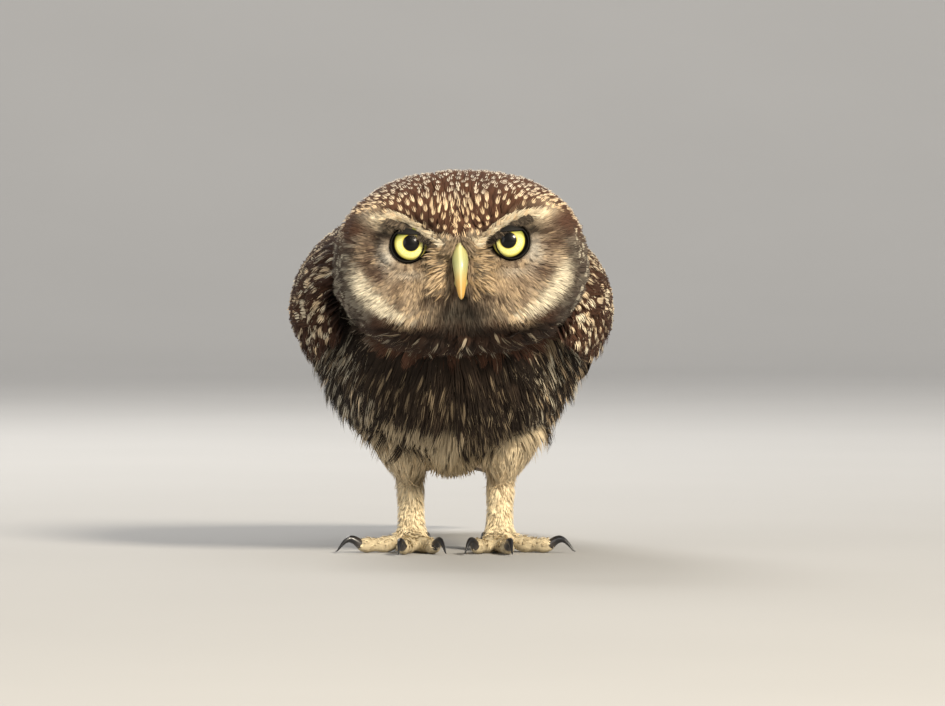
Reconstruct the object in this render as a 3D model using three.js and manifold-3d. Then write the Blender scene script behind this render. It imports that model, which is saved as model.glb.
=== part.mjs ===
// Little owl, life size, crouching and looking straight ahead.
// Millimetres. +X is the viewer's right, -Y is the way the owl faces, +Z is up, and the floor is z = 0.
import * as THREE from "three";
import Module from "manifold-3d";

const wasm = await Module();
wasm.setup();

const GAP = 0.3; // air between two pieces that meet
const SIMPLER = 0.08; // how far a surface may move when needless triangles are dropped
const DEG = Math.PI / 180;

// Driving sizes
const TORSO = {
  x: -1, breast: -52, rump: 80, middle: 58, fall: 0.24, halfWidth: 34.5, halfHeight: 33,
  crest: 0.66, fullness: 0.6, columns: 24, rows: 18,
};
const HEAD = {
  x: 1.5, y: -50, z: 80, halfWidth: 34, front: 27, back: 29, up: 25, down: 23, boxiness: 2.25,
  roll: 1.7 * DEG, columns: 36, rows: 20,
};
const NECK = { y: -34, z: 71, halfWidth: 32.5, halfLength: 20, halfHeight: 26, columns: 22, rows: 8 };
const EYE = { x: 13.2, y: -19, z: 5.6, radius: 6.2, opening: 4.9, lid: 0.85, socket: 2.1, yaw: 14 * DEG };
const BILL = { width: 5.8, depth: 6.4 };
const LEG = { spread: 12, kneeY: 4, footY: 3, thighTop: 38, thighEnd: 18, ankle: 4.2, tarsusRadius: 4.3 };
const TOE = { radius: 2.4, axisHeight: 2.1 };
const TAIL = {
  baseY: 70, baseZ: 40.5, length: 62, drop: 0.36, pairs: 6, width: 12.5, fan: 4.2 * DEG, step: 0.82,
  rootSpacing: 1.5,
};

// Colours of the plain materials
const FINISH = {
  plumage: { color: 0x5d4a3a, roughness: 0.92 },
  face: { color: 0x9a8468, roughness: 0.92 },
  wing: { color: 0x4b382b, roughness: 0.85 },
  leg: { color: 0xcdb48a, roughness: 0.92 },
  toe: { color: 0xc29a62, roughness: 0.75 },
  bill: { color: 0xb7a552, roughness: 0.4 },
  claw: { color: 0x24232a, roughness: 0.35 },
  eye: { color: 0xe3d62e, roughness: 0.08 },
};

const v3 = (x, y, z) => new THREE.Vector3(x, y, z);
const mix = (a, b, t) => a + (b - a) * t;
const clamp01 = (t) => Math.min(1, Math.max(0, t));
const smooth = (a, b, t) => {
  const s = clamp01((t - a) / (b - a));
  return s * s * (3 - 2 * s);
};
const bump = (d, spread) => Math.exp(-((d / spread) ** 2));

// A smooth curve through named stations [place, value], read at any place.
function along(stations, place) {
  const last = stations.length - 1;
  if (place <= stations[0][0]) return stations[0][1];
  if (place >= stations[last][0]) return stations[last][1];
  const i = stations.findIndex(([p], k) => k > 0 && place <= p) - 1;
  const slope = (k) => {
    const a = stations[Math.max(0, k - 1)];
    const b = stations[Math.min(last, k + 1)];
    return (b[1] - a[1]) / (b[0] - a[0]);
  };
  const [x0, y0] = stations[i];
  const [x1, y1] = stations[i + 1];
  const h = x1 - x0;
  const t = (place - x0) / h;
  const t2 = t * t;
  const t3 = t2 * t;
  return (
    (2 * t3 - 3 * t2 + 1) * y0 + (t3 - 2 * t2 + t) * h * slope(i) +
    (3 * t2 - 2 * t3) * y1 + (t3 - t2) * h * slope(i + 1)
  );
}

// Points and faces made one closed solid: equal points welded, collapsed faces dropped, faces turned outwards.
function solid(points, faces) {
  const places = new Map();
  const kept = [];
  const index = points.map((p) => {
    const key = [p.x, p.y, p.z].map((c) => Math.round(c * 1e4)).join();
    if (!places.has(key)) {
      places.set(key, kept.length / 3);
      kept.push(p.x, p.y, p.z);
    }
    return places.get(key);
  });
  const whole = faces
    .map((f) => f.map((i) => index[i]))
    .filter(([a, b, c]) => a !== b && b !== c && c !== a);
  const corner = (i) => v3(kept[3 * i], kept[3 * i + 1], kept[3 * i + 2]);
  const volume = whole.reduce((sum, [a, b, c]) => sum + corner(a).dot(corner(b).cross(corner(c))), 0);
  const turned = volume < 0 ? whole.map(([a, b, c]) => [a, c, b]) : whole;
  return new wasm.Manifold(
    new wasm.Mesh({
      numProp: 3,
      vertProperties: new Float32Array(kept),
      triVerts: new Uint32Array(turned.flat()),
    }),
  );
}

// A closed skin of rings: row 0 and the last row are single points, the columns go round.
function ringed(rows, columns, point) {
  const points = [];
  const faces = [];
  for (let i = 0; i <= rows; i++)
    for (let j = 0; j < columns; j++) points.push(point(i / rows, j / columns));
  for (let i = 0; i < rows; i++)
    for (let j = 0; j < columns; j++) {
      const a = i * columns + j;
      const b = i * columns + ((j + 1) % columns);
      faces.push([a, b, a + columns], [b, b + columns, a + columns]);
    }
  return solid(points, faces);
}

// A closed slab: an upper and a lower sheet split into triangles alike, with walls round the edge.
function slab(rows, columns, point) {
  const points = [];
  const faces = [];
  const count = (rows + 1) * (columns + 1);
  for (const side of [1, -1])
    for (let i = 0; i <= rows; i++)
      for (let j = 0; j <= columns; j++) points.push(point(i / rows, j / columns, side));
  const at = (i, j) => i * (columns + 1) + j;
  for (let i = 0; i < rows; i++)
    for (let j = 0; j < columns; j++) {
      const [a, b, c, d] = [at(i, j), at(i, j + 1), at(i + 1, j + 1), at(i + 1, j)];
      faces.push([a, b, c], [a, c, d], [a + count, c + count, b + count], [a + count, d + count, c + count]);
    }
  const edge = [];
  for (let j = 0; j < columns; j++) edge.push([at(0, j), at(0, j + 1)], [at(rows, j + 1), at(rows, j)]);
  for (let i = 0; i < rows; i++) edge.push([at(i, columns), at(i + 1, columns)], [at(i + 1, 0), at(i, 0)]);
  for (const [a, b] of edge) faces.push([b, a, a + count], [b, a + count, b + count]);
  return solid(points, faces);
}

// A round piece carried along a path: centre(t) and the two half sizes across it at t. Its ends are flat.
function limb(centre, halfSizes, rows, columns) {
  return ringed(rows, columns, (s, turn) => {
    const t = clamp01((s * rows - 1) / (rows - 2));
    const open = s > 0 && s < 1 ? 1 : 0;
    const ahead = centre(Math.min(1, t + 0.01)).sub(centre(Math.max(0, t - 0.01))).normalize();
    const across = v3(1, 0, 0).addScaledVector(ahead, -ahead.x).normalize();
    const over = ahead.clone().cross(across);
    const [a, b] = halfSizes(t).map((size) => size * open);
    const angle = 2 * Math.PI * turn;
    return centre(t).addScaledVector(across, a * Math.cos(angle)).addScaledVector(over, b * Math.sin(angle));
  });
}

const ball = (centre, radii, rows = 12, columns = 18) =>
  ringed(rows, columns, (s, turn) => {
    const polar = Math.PI * s;
    const round = 2 * Math.PI * turn;
    return v3(
      centre.x + radii.x * Math.sin(polar) * Math.cos(round),
      centre.y + radii.y * Math.cos(polar),
      centre.z + radii.z * Math.sin(polar) * Math.sin(round),
    );
  });

// Head: a blunt ellipsoid about its centre, pushed in and out by the relief of the face.
const headFrame = new THREE.Matrix4()
  .makeTranslation(HEAD.x, HEAD.y, HEAD.z)
  .multiply(new THREE.Matrix4().makeRotationY(-HEAD.roll));
const inHead = (x, y, z) => v3(x, y, z).applyMatrix4(headFrame);

const browHeight = (x) => 7.2 + 6.6 * smooth(1, 15, x) - 1.6 * smooth(17, 26, x);

function faceRelief(x, z) {
  const side = Math.abs(x);
  const toEye = Math.hypot(side - EYE.x, z - EYE.z);
  const basin = -EYE.socket * bump(toEye, 6.2);
  const brow = 2.0 * bump(z - browHeight(side), 2.3) * smooth(0, 4, side) * (1 - smooth(20, 27, side));
  const bridge = 1.5 * bump(side, 3.6) * bump(z - 4, 5.5);
  const rim = 1.3 * bump(Math.hypot((side - 12) / 1.12, z - 1) - 16.5, 2.6) * smooth(3, 9, side);
  const bristles = 1.4 * bump(Math.hypot(side - 5.5, z + 5.5), 4.2);
  const chin = -1.8 * bump(Math.hypot(side, z + 13), 5);
  return basin + brow + bridge + rim + bristles + chin;
}

// The head's surface along a direction (dx, dy, dz), grown outwards by more.
function headPoint(dx, dy, dz, more) {
  const power = HEAD.boxiness;
  const depth = dy < 0 ? HEAD.front : HEAD.back;
  const height = dz > 0 ? HEAD.up : HEAD.down;
  const base =
    (Math.abs(dx / HEAD.halfWidth) ** power + Math.abs(dy / depth) ** power + Math.abs(dz / height) ** power) **
    (-1 / power);
  const face = smooth(0.15, 0.6, -dy);
  const reach = base + more + face * faceRelief(dx * base, dz * base);
  return inHead(dx * reach, dy * reach, dz * reach);
}

function headSolid(more = 0) {
  return ringed(HEAD.rows, HEAD.columns, (s, turn) => {
    const polar = Math.PI * s;
    const spin = 2 * Math.PI * turn;
    const round = spin - 0.35 * Math.sin(spin); // columns lie closer together on the face
    return headPoint(
      -Math.sin(polar) * Math.sin(round),
      -Math.sin(polar) * Math.cos(round),
      Math.cos(polar),
      more,
    );
  });
}

// Eye: a ball in its socket, turned a little outwards, with a lid round the part that shows.
const eyeCentre = (side) => v3(side * EYE.x, EYE.y, EYE.z);

function eyeSolid(side, more = 0) {
  const centre = inHead(...eyeCentre(side).toArray());
  const radius = EYE.radius + more;
  return ball(centre, v3(radius, radius, radius), 10, 14);
}

function lidSolid(side) {
  const look = v3(side * Math.sin(EYE.yaw), -Math.cos(EYE.yaw), 0);
  const across = v3(Math.cos(EYE.yaw), side * Math.sin(EYE.yaw), 0);
  const up = v3(0, 0, 1);
  const forward = Math.sqrt((EYE.radius + EYE.lid * 0.7) ** 2 - EYE.opening ** 2);
  const points = [];
  const faces = [];
  const [turns, corners] = [18, 5];
  for (let i = 0; i < turns; i++)
    for (let j = 0; j < corners; j++) {
      const round = (2 * Math.PI * i) / turns;
      const tube = (2 * Math.PI * j) / corners;
      const out = across.clone().multiplyScalar(Math.cos(round)).addScaledVector(up, Math.sin(round));
      const heavy = EYE.lid * (1 + 0.5 * clamp01(Math.sin(round))); // the upper lid is the thicker
      const p = eyeCentre(side)
        .addScaledVector(look, forward + heavy * Math.sin(tube))
        .addScaledVector(out, EYE.opening + 0.35 + heavy * 1.25 * Math.cos(tube));
      points.push(inHead(p.x, p.y, p.z));
      const a = i * corners + j;
      const b = i * corners + ((j + 1) % corners);
      const next = corners * ((i + 1) % turns) - corners * i;
      faces.push([a, b, a + next], [b, b + next, a + next]);
    }
  return solid(points, faces);
}

// Bill: a hooked upper half with a cere and two nostrils, and a shorter lower half behind it.
const upperBillPath = [[0, 4.4, -19], [0.3, 4.2, -26], [0.55, 2.2, -29.6], [0.8, -3.2, -31.4], [1, -9.9, -30.2]];

function billPoint(path, t) {
  const z = along(path.map(([at, height]) => [at, height]), t);
  const y = along(path.map(([at, , depth]) => [at, depth]), t);
  return inHead(0, y, z);
}

function upperBill() {
  const horn = limb(
    (t) => billPoint(upperBillPath, t),
    (t) => {
      const taper = Math.sqrt(clamp01(1 - t ** 2.6));
      return [(BILL.width / 2) * taper + 0.1, (BILL.depth / 2) * taper ** 1.2 + 0.1];
    },
    10,
    10,
  );
  const cere = ball(inHead(0, -27.6, 4.6), v3(3.2, 2.5, 2.5), 6, 10);
  const nostrils = [-1, 1].map((side) => ball(inHead(side * 2.3, -29.2, 3.6), v3(0.75, 1.2, 0.7), 5, 6));
  return horn.add(cere).subtract(nostrils[0]).subtract(nostrils[1]);
}

const lowerBillPath = [[0, -4.2, -19], [0.5, -4.8, -25.5], [1, -7.6, -28.6]];

const lowerBill = () =>
  limb(
    (t) => billPoint(lowerBillPath, t),
    (t) => {
      const taper = Math.sqrt(clamp01(1 - t ** 3));
      return [2.3 * taper + 0.1, 1.5 * taper + 0.1];
    },
    7,
    10,
  );

// Torso: an egg lying along Y, its middle falling towards the tail.
const torsoMiddle = (y) => TORSO.middle - TORSO.fall * y;

function torsoShape(y) {
  const t = clamp01((y - TORSO.breast) / (TORSO.rump - TORSO.breast));
  return Math.sin(Math.PI * t ** TORSO.crest) ** TORSO.fullness;
}

function torsoSolid(more = 0) {
  return ringed(TORSO.rows, TORSO.columns, (s, turn) => {
    const t = (1 - Math.cos(Math.PI * s)) / 2;
    const y = mix(TORSO.breast - more, TORSO.rump + more, t);
    const shape = s === 0 || s === 1 ? 0 : torsoShape(mix(TORSO.breast, TORSO.rump, t));
    const grow = s === 0 || s === 1 ? 0 : more;
    const angle = 2 * Math.PI * turn;
    return v3(
      TORSO.x + (TORSO.halfWidth * shape + grow) * Math.sin(angle),
      y,
      torsoMiddle(y) + (TORSO.halfHeight * shape + grow) * Math.cos(angle),
    );
  });
}

const neckSolid = (more = 0) =>
  ball(
    v3(0, NECK.y, NECK.z),
    v3(NECK.halfWidth + more, NECK.halfLength + more, NECK.halfHeight + more),
    NECK.rows,
    NECK.columns,
  );

// Leg: a feathered thigh that tapers out of the belly, and a feathered shank down to the toes.
function thighSolid(side, more = 0) {
  const x = side * LEG.spread;
  return limb(
    (t) => v3(x + side * 2.5 * (1 - t), mix(2, LEG.kneeY, t), mix(LEG.thighTop, LEG.thighEnd, t)),
    (t) => {
      const taper = Math.sin(Math.PI * (0.08 + 0.82 * t) ** 0.62) ** 0.5;
      return [mix(12, 6.6, t) * taper + more, mix(18, 8.5, t) * taper + more];
    },
    10,
    16,
  );
}

const ankleOf = (side) => v3(side * LEG.spread, LEG.footY, LEG.ankle);

function shankSolid(side, more = 0) {
  const foot = ankleOf(side);
  return limb(
    (t) => v3(foot.x + side * 0.6 * (1 - t), mix(LEG.kneeY, foot.y, t), mix(LEG.thighEnd + 4, foot.z - 3.4, t)),
    (t) => {
      const flare = 1 + 0.22 * smooth(0.6, 0.95, t) - 0.35 * smooth(0.93, 1, t);
      return [LEG.tarsusRadius * flare + more, LEG.tarsusRadius * 1.05 * flare + more];
    },
    9,
    14,
  );
}

// Toes: [name, heading from straight ahead towards the outside, length, start from the ankle].
const TOES = [
  ["inner", -24, 15, 2.6],
  ["middle", 8, 17.5, 2.6],
  ["outer", 66, 14.5, 2.6],
  ["hind", 196, 10.5, 2.6],
];

function toeAxis(side, heading, length, start) {
  const turn = heading * DEG;
  const way = v3(side * Math.sin(turn), -Math.cos(turn), 0);
  const from = ankleOf(side).setZ(0).addScaledVector(way, start);
  return { way, from, to: from.clone().addScaledVector(way, length) };
}

// A solid from a three.js geometry.
function solidOf(geometry) {
  const place = geometry.getAttribute("position");
  const points = Array.from({ length: place.count }, (_, i) => v3(place.getX(i), place.getY(i), place.getZ(i)));
  const order = Array.from(geometry.index.array);
  const faces = Array.from({ length: order.length / 3 }, (_, i) => order.slice(3 * i, 3 * i + 3));
  return solid(points, faces);
}

const aboveFloor = solidOf(new THREE.BoxGeometry(400, 400, 400).translate(0, 0, 200));

function toeSolid(side, [, heading, length, start], more = 0) {
  const { from, way } = toeAxis(side, heading, length, start);
  const made = limb(
    (t) =>
      from
        .clone()
        .addScaledVector(way, (length + more) * t)
        .setZ(mix(3.4, TOE.axisHeight, smooth(0, 0.4, t))),
    (t) => {
      const pads = 1 + 0.1 * Math.cos(2 * Math.PI * (2.6 * t));
      const round = Math.sqrt(clamp01(1.02 - (2 * t - 1) ** 8));
      const radius = TOE.radius * pads * mix(1.08, 0.88, t) * round + more;
      return [radius, radius * 1.02];
    },
    8,
    8,
  );
  return made.intersect(aboveFloor);
}

function clawSolid(side, [, heading, length, start]) {
  const { way, to } = toeAxis(side, heading, length, start);
  const reach = 7.5;
  return limb(
    (t) =>
      to
        .clone()
        .addScaledVector(way, reach * t - 1.6)
        .setZ(2.3 + 2.3 * Math.sin(Math.PI * Math.min(1, t * 1.08)) - 1.7 * t),
    (t) => [mix(1.25, 0.2, t), mix(1.45, 0.2, t)],
    6,
    6,
  );
}

// Cloak: the smooth surface that the folded wing follows, by place along the body and angle from the top.
const CLOAK = {
  middle: [[-48, 70], [-30, 68], [0, 64], [25, 58], [50, 51], [75, 43.5], [112, 28]],
  halfWidth: [[-48, 31], [-42, 36], [-30, 39.5], [0, 39.5], [25, 38.5], [50, 30], [75, 22], [112, 12]],
  halfHeight: [[-48, 20], [-42, 23], [-25, 27], [0, 30], [25, 28.5], [50, 21.5], [75, 14], [112, 6]],
};

function cloakPoint(side, y, angle, lift) {
  const place = (a, b) => {
    const turn = b * DEG;
    return v3(
      TORSO.x + side * along(CLOAK.halfWidth, a) * Math.sin(turn),
      a,
      along(CLOAK.middle, a) + along(CLOAK.halfHeight, a) * Math.cos(turn),
    );
  };
  const base = place(y, angle);
  const back = place(y + 0.5, angle).sub(place(y - 0.5, angle));
  const down = place(y, angle + 0.5).sub(place(y, angle - 0.5));
  const out = back.clone().cross(down).normalize().multiplyScalar(-side);
  return { point: base.addScaledVector(out, lift), out, back: back.normalize(), down: down.normalize() };
}

// A vane's rows by place along it, with the share of its full width at each: narrow root, round tip.
const FLIGHT_ROWS = [[0, 0.45], [0.3, 0.86], [0.66, 1], [0.9, 0.8], [1, 0.3]];
const COVERT_ROWS = [[0, 0.6], [0.55, 1], [0.87, 0.82], [1, 0.32]];
const VANE_THICKNESS = 0.55;
const vaneRow = (rows, s) => rows[Math.round(s * (rows.length - 1))];

// One vane on the cloak, from its root to its tip: [y, angle] at both ends and the lift at root, middle and tip.
function wingVane(side, { rows, root, tip, width, lifts, roll }) {
  return slab(rows.length - 1, 1, (s, v, face) => {
    const [t, share] = vaneRow(rows, s);
    const y = mix(root[0], tip[0], t);
    const angle = mix(root[1], tip[1], t ** 1.25);
    const lift = mix(mix(lifts[0], lifts[1], smooth(0, 0.45, t)), lifts[2], smooth(0.4, 1, t));
    const here = cloakPoint(side, y, angle, lift);
    const tilt = roll * DEG;
    const across = here.down.clone().multiplyScalar(Math.cos(tilt)).addScaledVector(here.out, Math.sin(tilt));
    return here.point
      .addScaledVector(across, (v - 0.5) * width * share)
      .addScaledVector(here.out, face * VANE_THICKNESS * (s < 1 ? 0.5 : 0.2));
  });
}

// Tiers of the folded wing: primaries, secondaries, primary, greater and median coverts, scapulars.
// Each gives its count, how root, tip and width run from its first vane to its last, and its lift and roll.
const WING_TIERS = [
  {
    rows: FLIGHT_ROWS, count: 6, root: [[22, 78], [-14, 102]], tip: [[92, 36], [105, 70]], width: [11, 9],
    lifts: [-2.6, -1.9, -0.2], roll: 12
  },
  {
    rows: FLIGHT_ROWS, count: 6, root: [[2, 46], [-18, 96]], tip: [[80, 31], [54, 97]], width: [17, 14],
    lifts: [-1.2, 0.4, 0.2], roll: 8
  },
  {
    rows: COVERT_ROWS, count: 3, root: [[-30, 93], [-36, 100]], tip: [[22, 96], [8, 103]], width: [9, 8],
    lifts: [-1.2, 1.4, 1.2], roll: 10
  },
  {
    rows: COVERT_ROWS, count: 5, root: [[-12, 50], [-28, 90]], tip: [[36, 45], [20, 92]], width: [16, 14],
    lifts: [-1, 2.4, 2.0], roll: 8
  },
  {
    rows: COVERT_ROWS, count: 4, root: [[-26, 54], [-36, 90]], tip: [[6, 51], [-4, 91]], width: [15, 13],
    lifts: [-1, 3.8, 3.4], roll: 8
  },
  {
    rows: COVERT_ROWS, count: 4, root: [[-16, 22], [-28, 46]], tip: [[44, 17], [12, 41]], width: [15, 12],
    lifts: [-1.5, 3.4, 2.2], roll: 8
  },
];

function tierVanes(side, tier) {
  const vanes = [];
  for (let k = 0; k < tier.count; k++) {
    const f = k / (tier.count - 1);
    const between = (ends) => ends[0].map((value, i) => mix(value, ends[1][i], f));
    const root = between(tier.root);
    const tip = between(tier.tip);
    tip[0] += 1.2 * Math.sin(2.4 * k + 1);
    const width = mix(tier.width[0], tier.width[1], f);
    vanes.push(wingVane(side, { ...tier, root, tip, width }));
  }
  return vanes;
}

// The wing's bed, by place along the body: a rounded shield from shoulder to wrist, thin under the flight feathers.
const BED = {
  front: -47, back: 98, rows: 10, columns: 5,
  top: [[-47, 34], [-20, 26], [20, 22], [60, 28], [98, 36]],
  low: [[-47, 96], [-25, 107], [10, 105], [50, 97], [98, 66]],
  over: [[-47, 0.6], [-20, 2.2], [0, 1.6], [30, 0.2], [50, -0.6], [98, -1.2]],
  under: [[-47, -9], [0, -9], [50, -5], [98, -2.2]],
};

function bedSolid(side) {
  return slab(BED.rows, BED.columns, (s, v, face) => {
    const y = mix(BED.front, BED.back, s ** 1.2);
    const angle = mix(along(BED.top, y), along(BED.low, y), v);
    const edge = Math.sqrt(clamp01(1 - (2 * v - 1) ** 4)) * Math.sqrt(clamp01(1 - Math.max(0, 1 - s / 0.25) ** 4));
    const middle = (along(BED.over, y) + along(BED.under, y)) / 2;
    const half = (along(BED.over, y) - along(BED.under, y)) / 2;
    return cloakPoint(side, y, angle, middle + face * Math.max(0.25, half * edge)).point;
  });
}

function wingSolid(side) {
  const vanes = WING_TIERS.flatMap((tier) => tierVanes(side, tier));
  return wasm.Manifold.union([bedSolid(side), ...vanes]);
}

// Tail: twelve feathers in a low stack, the middle pair on top, with coverts above and below.
function tailVane({ rows, x, lean, start, length, width, lift, roll }) {
  const way = v3(Math.sin(lean), Math.cos(lean), 0);
  const across = v3(Math.cos(lean), -Math.sin(lean), -Math.sign(x) * Math.tan(roll));
  return slab(rows.length - 1, 1, (s, v, face) => {
    const [t, share] = vaneRow(rows, s);
    const fall = (start + length * t - TAIL.baseY) * TAIL.drop;
    return v3(TORSO.x + x, start, TAIL.baseZ - fall + lift + face * VANE_THICKNESS * (s < 1 ? 0.5 : 0.2))
      .addScaledVector(way, length * t)
      .addScaledVector(across, (v - 0.5) * width * share);
  });
}

function tailSolid() {
  const vanes = [];
  for (const side of [-1, 1]) {
    for (let k = 0; k < TAIL.pairs; k++)
      vanes.push(tailVane({
        rows: FLIGHT_ROWS, x: side * (0.9 + TAIL.rootSpacing * k), lean: side * TAIL.fan * (k / 5 + 0.1), start: TAIL.baseY - 4,
        length: TAIL.length - 0.8 * k, width: TAIL.width, lift: -TAIL.step * k, roll: 4 * DEG,
      }));
    for (let k = 0; k < 2; k++) {
      const x = side * (2.2 + 4.6 * k);
      const lean = side * 4 * DEG * k;
      const covert = { rows: COVERT_ROWS, x, lean };
      vanes.push(tailVane({ ...covert, start: 66, length: 27 - 4 * k, width: 11, lift: 2.2 - k, roll: 5 * DEG }));
      vanes.push(tailVane({ ...covert, start: 62, length: 40 - 5 * k, width: 12, lift: -6.8 + k, roll: -5 * DEG }));
    }
  }
  const root = ball(v3(TORSO.x, TAIL.baseY - 1, TAIL.baseZ - 2.2), v3(9.5, 14, 6), 8, 14);
  return wasm.Manifold.union([root, ...vanes]);
}

// Assembly: each piece is cut back by its neighbours, grown by the gap, so that they meet face to face.
const largest = (made) => made.decompose().sort((a, b) => b.volume() - a.volume())[0];
const cutBy = (made, ...others) => largest(others.reduce((left, other) => left.subtract(other), made));

function geometryOf(made) {
  const mesh = made.getMesh();
  const positions = new Float32Array(mesh.numVert * 3);
  for (let i = 0; i < mesh.numVert; i++)
    positions.set(mesh.vertProperties.subarray(i * mesh.numProp, i * mesh.numProp + 3), i * 3);
  const geometry = new THREE.BufferGeometry()
    .setAttribute("position", new THREE.BufferAttribute(positions, 3))
    .setIndex(new THREE.BufferAttribute(new Uint32Array(mesh.triVerts), 1));
  geometry.computeVertexNormals();
  return geometry;
}

const owl = new THREE.Group();
const materials = Object.fromEntries(
  Object.entries(FINISH).map(([name, finish]) => [name, new THREE.MeshStandardMaterial({ ...finish, metalness: 0 })]),
);

function addNode(name, made, finish) {
  const mesh = new THREE.Mesh(geometryOf(largest(made.simplify(SIMPLER))), materials[finish]);
  mesh.name = name;
  owl.add(mesh);
}

const SIDES = [["right", -1], ["left", 1]]; // the owl's own right side is at -X

function build() {
  const headGrown = headSolid(GAP);
  const neckGrown = neckSolid(GAP);
  const torsoGrown = torsoSolid(GAP);
  const tail = cutBy(tailSolid(), torsoGrown);

  const sockets = SIDES.map(([, side]) => eyeSolid(side, GAP));
  const lids = SIDES.map(([, side]) => lidSolid(side));
  addNode("head", cutBy(wasm.Manifold.union([headSolid(), ...lids]), ...sockets), "face");
  for (const [name, side] of SIDES) addNode("eye_" + name, eyeSolid(side), "eye");
  addNode("bill_upper", cutBy(upperBill(), headGrown), "bill");
  addNode("bill_lower", cutBy(lowerBill(), headGrown), "bill");

  addNode("neck", cutBy(neckSolid(), headGrown), "plumage");
  const thighs = SIDES.map(([, side]) => thighSolid(side, GAP));
  addNode("torso", cutBy(torsoSolid(), headGrown, neckGrown), "plumage");
  addNode("tail", tail, "wing");

  SIDES.forEach(([name, side]) => {
    addNode("wing_" + name, cutBy(wingSolid(side), torsoGrown, headGrown, neckGrown), "wing");
    addNode("thigh_" + name, cutBy(thighSolid(side), torsoGrown), "leg");
    addNode("shank_" + name, cutBy(shankSolid(side), thighs[side < 0 ? 0 : 1], torsoGrown), "leg");
    const shankGrown = shankSolid(side, GAP);
    const toesGrown = [];
    for (const toe of TOES) {
      addNode(`toe_${toe[0]}_${name}`, cutBy(toeSolid(side, toe), shankGrown, ...toesGrown), "toe");
      toesGrown.push(toeSolid(side, toe, GAP));
      addNode(`claw_${toe[0]}_${name}`, cutBy(clawSolid(side, toe), ...toesGrown), "claw");
    }
  });
}

build();

// The origin is the middle of the footprint.
const box = new THREE.Box3().setFromObject(owl);
owl.position.set(-(box.min.x + box.max.x) / 2, -(box.min.y + box.max.y) / 2, 0);

export default owl;
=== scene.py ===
import bpy
import numpy as np
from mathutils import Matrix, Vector
from mathutils.bvhtree import BVHTree
from mathutils.kdtree import KDTree


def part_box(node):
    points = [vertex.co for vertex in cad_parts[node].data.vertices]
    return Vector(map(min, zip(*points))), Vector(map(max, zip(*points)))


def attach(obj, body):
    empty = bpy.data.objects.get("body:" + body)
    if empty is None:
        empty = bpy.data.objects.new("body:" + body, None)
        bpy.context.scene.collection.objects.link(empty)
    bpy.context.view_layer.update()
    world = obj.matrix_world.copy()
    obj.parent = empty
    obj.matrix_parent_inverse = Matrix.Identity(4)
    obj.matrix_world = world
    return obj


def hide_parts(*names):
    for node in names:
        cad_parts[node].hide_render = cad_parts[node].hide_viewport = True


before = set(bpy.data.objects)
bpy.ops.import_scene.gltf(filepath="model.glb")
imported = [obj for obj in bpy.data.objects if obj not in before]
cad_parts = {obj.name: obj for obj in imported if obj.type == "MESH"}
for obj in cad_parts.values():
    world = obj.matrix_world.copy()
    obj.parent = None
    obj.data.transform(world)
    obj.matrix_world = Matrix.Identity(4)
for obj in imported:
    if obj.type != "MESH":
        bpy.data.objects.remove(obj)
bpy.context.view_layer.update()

DEG = np.pi / 180
SIDES = {"right": -1, "left": 1}

# Sizes shared with the solids
TORSO = dict(
    x=-1, breast=-52, rump=80, middle=58, fall=0.24,
    half_width=34.5, half_height=33, crest=0.66, fullness=0.6,
)
HEAD = dict(
    x=1.5, y=-50, z=80, half_width=34, front=27, back=29, up=25, down=23,
    boxiness=2.25, roll=1.7 * DEG,
)
NECK = dict(y=-34, z=71, half_width=32.5, half_length=20, half_height=26)
EYE = dict(x=13.2, y=-19, z=5.6, radius=6.2, opening=4.9, socket=2.1)
LEG = dict(
    spread=12, knee_y=4, foot_y=3, thigh_top=38, thigh_end=18,
    thigh_wide=(12, 6.6), thigh_deep=(18, 8.5), tarsus=4.3,
)
TOE = dict(radius=2.4, axis=2.1, start=2.6)
TOES = {"inner": (-24, 15), "middle": (8, 17.5), "outer": (66, 14.5), "hind": (196, 10.5)}  # heading, length
CLAW = dict(reach=7.5, inset=1.6, root=2.3, arch=2.3, fall=1.7, half_width=1.3, half_depth=1.5, point=0.08)
TAIL = dict(
    y=70, z=40.5, length=62, drop=0.36, pairs=6, width=12.5, fan=4.2 * DEG, step=0.82, spacing=1.5,
)
CLOAK = dict(
    middle=[(-48, 70), (-30, 68), (0, 64), (25, 58), (50, 51), (75, 43.5), (112, 28)],
    half_width=[(-48, 31), (-42, 36), (-30, 39.5), (0, 39.5), (25, 38.5), (50, 30), (75, 22), (112, 12)],
    half_height=[(-48, 20), (-42, 23), (-25, 27), (0, 30), (25, 28.5), (50, 21.5), (75, 14), (112, 6)],
)
BED = dict(
    front=-47, back=98,
    top=[(-47, 34), (-20, 26), (20, 22), (60, 28), (98, 36)],
    low=[(-47, 96), (-25, 107), (10, 105), (50, 97), (98, 66)],
    over=[(-47, 0.6), (-20, 2.2), (0, 1.6), (30, 0.2), (50, -0.6), (98, -1.2)],
    under=[(-47, -9), (0, -9), (50, -5), (98, -2.2)],
)

# Depth that the coat takes up inside the solids, part by part
COAT = dict(head=1.9, neck=3.4, torso=3.6, bed=1.4, thigh=2.2, shank=1.1, toe=0.25)


# Small maths on whole arrays
def unit(v):
    """Vectors at length 1."""
    return v / np.maximum(np.linalg.norm(v, axis=-1, keepdims=True), 1e-9)


def smooth(a, b, t):
    """0 at a, 1 at b, and s * s * (3 - 2 * s) between; a may be the larger."""
    s = np.clip((t - a) / (b - a), 0, 1)
    return s * s * (3 - 2 * s)


def bump(d, spread):
    """A bell: exp(-(d / spread)^2)."""
    return np.exp(-((d / spread) ** 2))


def mix(a, b, t):
    """From a at t = 0 straight to b at t = 1."""
    return a + (b - a) * t


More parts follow.
